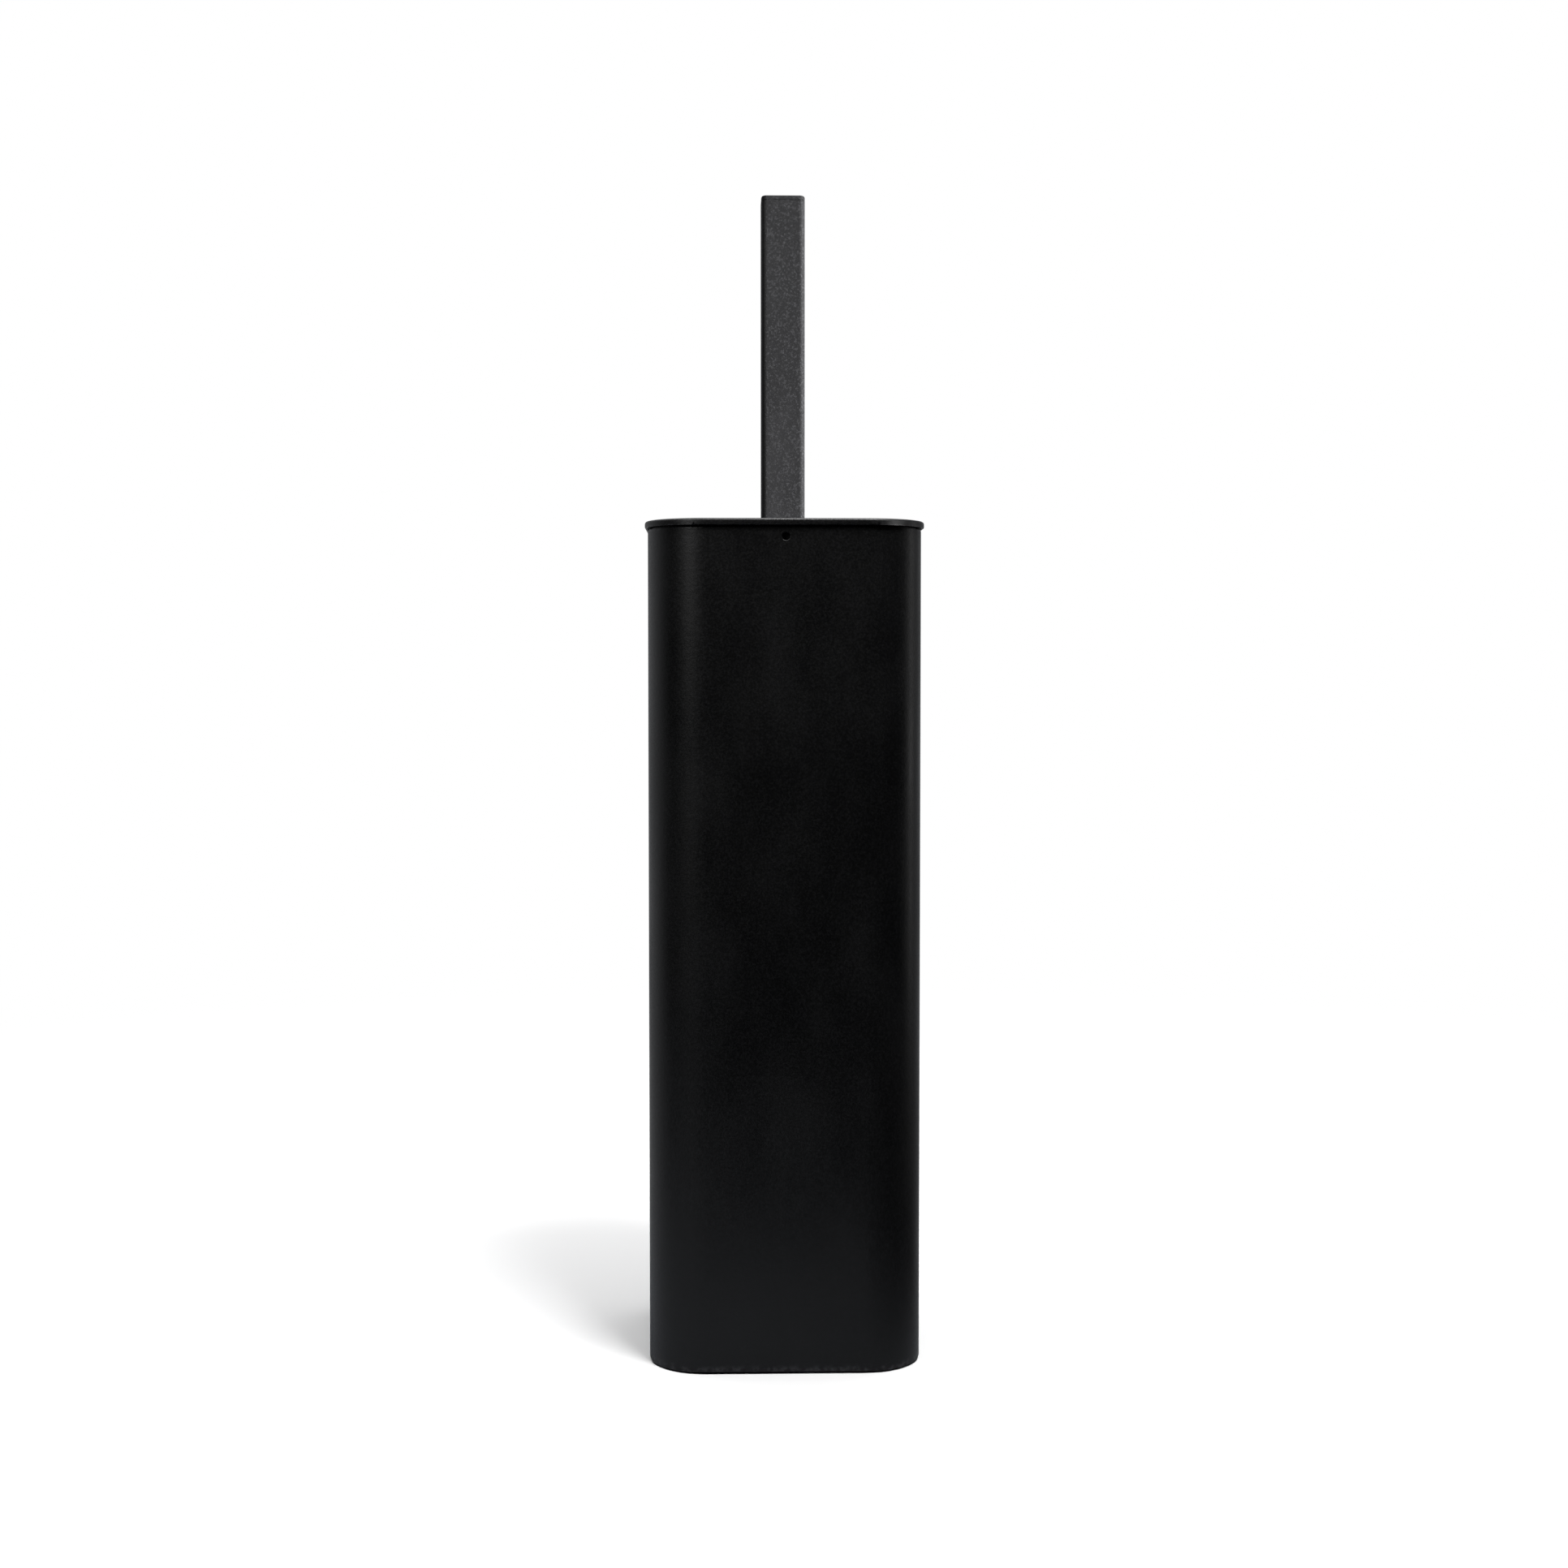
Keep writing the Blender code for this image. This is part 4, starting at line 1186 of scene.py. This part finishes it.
# %% [markdown]
# ## The room
# A studio shot of a black object on white is mostly a question of what it reflects. The room is dark in
# front, so that the flat face stays black, and bright behind and to the left, so that the corners are
# drawn by a thin pale edge. It could be a box of white walls. A world whose brightness depends on the
# direction is quicker to change. The camera itself sees plain white in place of it.

# %% World
ROOM_TINT = "#f4f6fa"
LEAN_LEFT = -0.35
DARKEST, BRIGHTER_BEHIND = 0.008, 0.36


def room():
    """A world that is dark in front and bright behind, and plain white to the camera."""
    world = bpy.data.worlds.new("studio_room")
    bpy.context.scene.world = world
    world.use_nodes = True
    tree = world.node_tree
    tree.nodes.clear()
    way = add_node(tree, "TexCoord")
    axes = add_node(tree, "SeparateXYZ", {"Vector": (way, "Generated")})
    leaning = sum_of(tree, (axes, "X"), LEAN_LEFT, "MULTIPLY_ADD", (axes, "Y"))
    behind = between(tree, leaning, 0.05, 0.9)
    strength = sum_of(tree, behind, BRIGHTER_BEHIND, "MULTIPLY_ADD", DARKEST)
    room_light = add_node(tree, "Background", {"Color": linear(ROOM_TINT), "Strength": strength})
    white = add_node(tree, "Background", {"Color": (1, 1, 1, 1), "Strength": 1.0})
    seen = add_node(tree, "LightPath")
    either = add_node(tree, "MixShader", {0: (seen, "Is Camera Ray"), 1: (room_light, 0), 2: (white, 0)})
    add_node(tree, "OutputWorld", {"Surface": (either, 0)})
    return world


print("world:", room().name)
bpy.context.scene.view_settings.view_transform = "Standard"

# %% [markdown]
# ## The floor
# The floor is a wide disc of matt white paper. To the camera it is pale near the object, where it takes
# the shadow, and fades to plain white further out, as an overlit paper sweep does. What it throws back
# at the object is a different matter: a white floor all round would make the black foot grey. So only
# a patch on the shadow side throws light, and a cool dim one. The rest lets reflected rays through to
# the room, as if it were laid with black cloth.

# %% Floor
FLOOR_RADIUS = 8
FADE_START, FADE_END = 0.30, 0.95
PATCH_PLACE = (-0.10, -0.07, 0)
PATCH_FULL, PATCH_END = 0.08, 0.30
PAPER_SEEN = (0.9, 0.9, 0.9, 1)
PAPER_THROWS = (0.235, 0.245, 0.265, 1)


def paper_sweep(name):
    """White paper that fades to plain light, and throws light back from one patch only."""
    paper = bpy.data.materials.new(name)
    paper.use_nodes = True
    tree = paper.node_tree
    tree.nodes.clear()
    spot = (add_node(tree, "TexCoord"), "Object")
    distance = add_node(tree, "VectorMath", {0: spot}, operation="LENGTH")
    far_away = between(tree, (distance, "Value"), FADE_START, FADE_END)
    from_patch = add_node(tree, "VectorMath", {0: spot, 1: PATCH_PLACE}, operation="DISTANCE")
    off_patch = between(tree, (from_patch, "Value"), PATCH_FULL, PATCH_END)
    camera_ray = (add_node(tree, "LightPath"), "Is Camera Ray")
    pale = blend_colours(tree, camera_ray, PAPER_THROWS, PAPER_SEEN)
    lit = add_node(tree, "BsdfDiffuse", {"Color": pale})
    glow = add_node(tree, "Emission", {"Color": (1, 1, 1, 1), "Strength": 1.0})
    gap = add_node(tree, "BsdfTransparent")
    thrown = add_node(tree, "MixShader", {0: off_patch, 1: (lit, 0), 2: (gap, 0)})
    faded = add_node(tree, "MixShader", {0: far_away, 1: (lit, 0), 2: (glow, 0)})
    surface = add_node(tree, "MixShader", {0: camera_ray, 1: (thrown, 0), 2: (faded, 0)})
    add_node(tree, "OutputMaterial", {"Surface": (surface, 0)})
    return paper


nothing_selected()
bpy.ops.mesh.primitive_circle_add(vertices=96, radius=FLOOR_RADIUS, fill_type="NGON", location=(0, 0, 0))
floor = bpy.context.active_object
floor.name = "studio_floor"
floor.data.materials.append(paper_sweep("matt_white_paper_sweep"))

# %% [markdown]
# ## Lights
# The key light stands high at the front right, so the soft shadow falls to the left and back. A wide
# panel overhead keeps the floor white. Both are kept off the handle by light linking, which says what a
# lamp may reach: under even light its narrow rounded corners would vanish into its face.

# %% Soft panels


def soft_panel(name, place, aim, size, power):
    """A rectangular area light that looks from its place at a point."""
    panel = bpy.data.lights.new(name, "AREA")
    panel.shape = "RECTANGLE"
    panel.size, panel.size_y = size
    panel.energy = power
    lamp = bpy.data.objects.new(name, panel)
    bpy.context.scene.collection.objects.link(lamp)
    lamp.location = place
    lamp.rotation_euler = (Vector(aim) - Vector(place)).to_track_quat("-Z", "Y").to_euler()
    lamp.visible_camera = False
    print(name, power, "W")
    return lamp


def link_light(lamp, state, *pieces):
    """Light linking: INCLUDE lets the lamp reach these pieces only, EXCLUDE all pieces but these."""
    linked = bpy.data.collections.new(lamp.name + "_linking")
    for piece in pieces:
        linked.objects.link(piece)
    lamp.light_linking.receiver_collection = linked
    for member in linked.collection_objects:
        member.light_linking.link_state = state


key_panel = soft_panel("key_panel", (0.42, -0.72, 1.75), (0, 0, 0.1), (0.45, 0.45), 22)
overhead_panel = soft_panel("overhead_panel", (0, 0.1, 2.2), (0, 0, 0), (2.4, 2.4), 62)
for panel in (overhead_panel, key_panel):
    link_light(panel, "EXCLUDE", tube, cap)

# %% [markdown]
# ## Cards that show only as reflections
# Black things are lit with cards that they mirror. A narrow one at the front left draws the long soft
# streak down the canister's left corner, a tall one far to the right draws the thin line down its right
# side, and a small one at the right catches the lid's rim and the handle's corner. They could be plain
# panels, but then they would also grey the flat face, so they light nothing and are only mirrored.

# %% Reflection cards
left_card = soft_panel("left_card", (-0.58, -0.83, 0.66), (0, 0, 0.27), (0.12, 0.3), 1.8)
right_card = soft_panel("right_card", (1.2, 0.35, 0.4), (0, 0, 0.25), (0.2, 0.9), 0.7)
rim_card = soft_panel("rim_card", (0.95, -0.5, 0.45), (0, 0, 0.33), (0.25, 0.25), 1.6)
link_light(rim_card, "INCLUDE", lid, tube, cap)
for card in (left_card, right_card, rim_card):
    card.visible_diffuse = False

# %% [markdown]
# ## Side light for the handle
# One panel lights the handle, far to the right and only a little in front of it. It grazes the front
# face, so the left corner falls dark and the right one is pale. It lights without being mirrored.

# %% Side panel
side_panel = soft_panel("handle_side_panel", (0.96, -0.31, 0.5), (0, 0, 0.35), (0.25, 0.25), 46)
side_panel.visible_glossy = False
link_light(side_panel, "INCLUDE", tube, cap)

# %% [markdown]
# ## The camera
# The camera stands 0.78 m away, a little above the middle of the object. It looks slightly down, and
# from a touch to the left. From this close the canister looks narrower towards its back, so its sides
# are hidden behind its front corners.

# %% Camera
camera_data = bpy.data.cameras.new("camera")
camera = bpy.data.objects.new("camera", camera_data)
bpy.context.scene.collection.objects.link(camera)
CAMERA_TURN = math.radians(1.5)
CAMERA_DISTANCE = 0.777
CAMERA_HEIGHT = 0.2304
LOOKING_DOWN = math.radians(2.609)
CAMERA_SIDEWAYS = 0.5 * MM
camera.location = (
    -CAMERA_DISTANCE * math.sin(CAMERA_TURN) + CAMERA_SIDEWAYS,
    -CAMERA_DISTANCE * math.cos(CAMERA_TURN),
    CAMERA_HEIGHT,
)
camera.rotation_euler = (math.radians(90) - LOOKING_DOWN, 0, -CAMERA_TURN)
camera_data.sensor_width = 36
camera_data.lens = 50.97
camera_data.clip_start = 0.02
camera_data.clip_end = 60
bpy.context.scene.camera = camera
print("camera at", [round(value, 3) for value in camera.location])
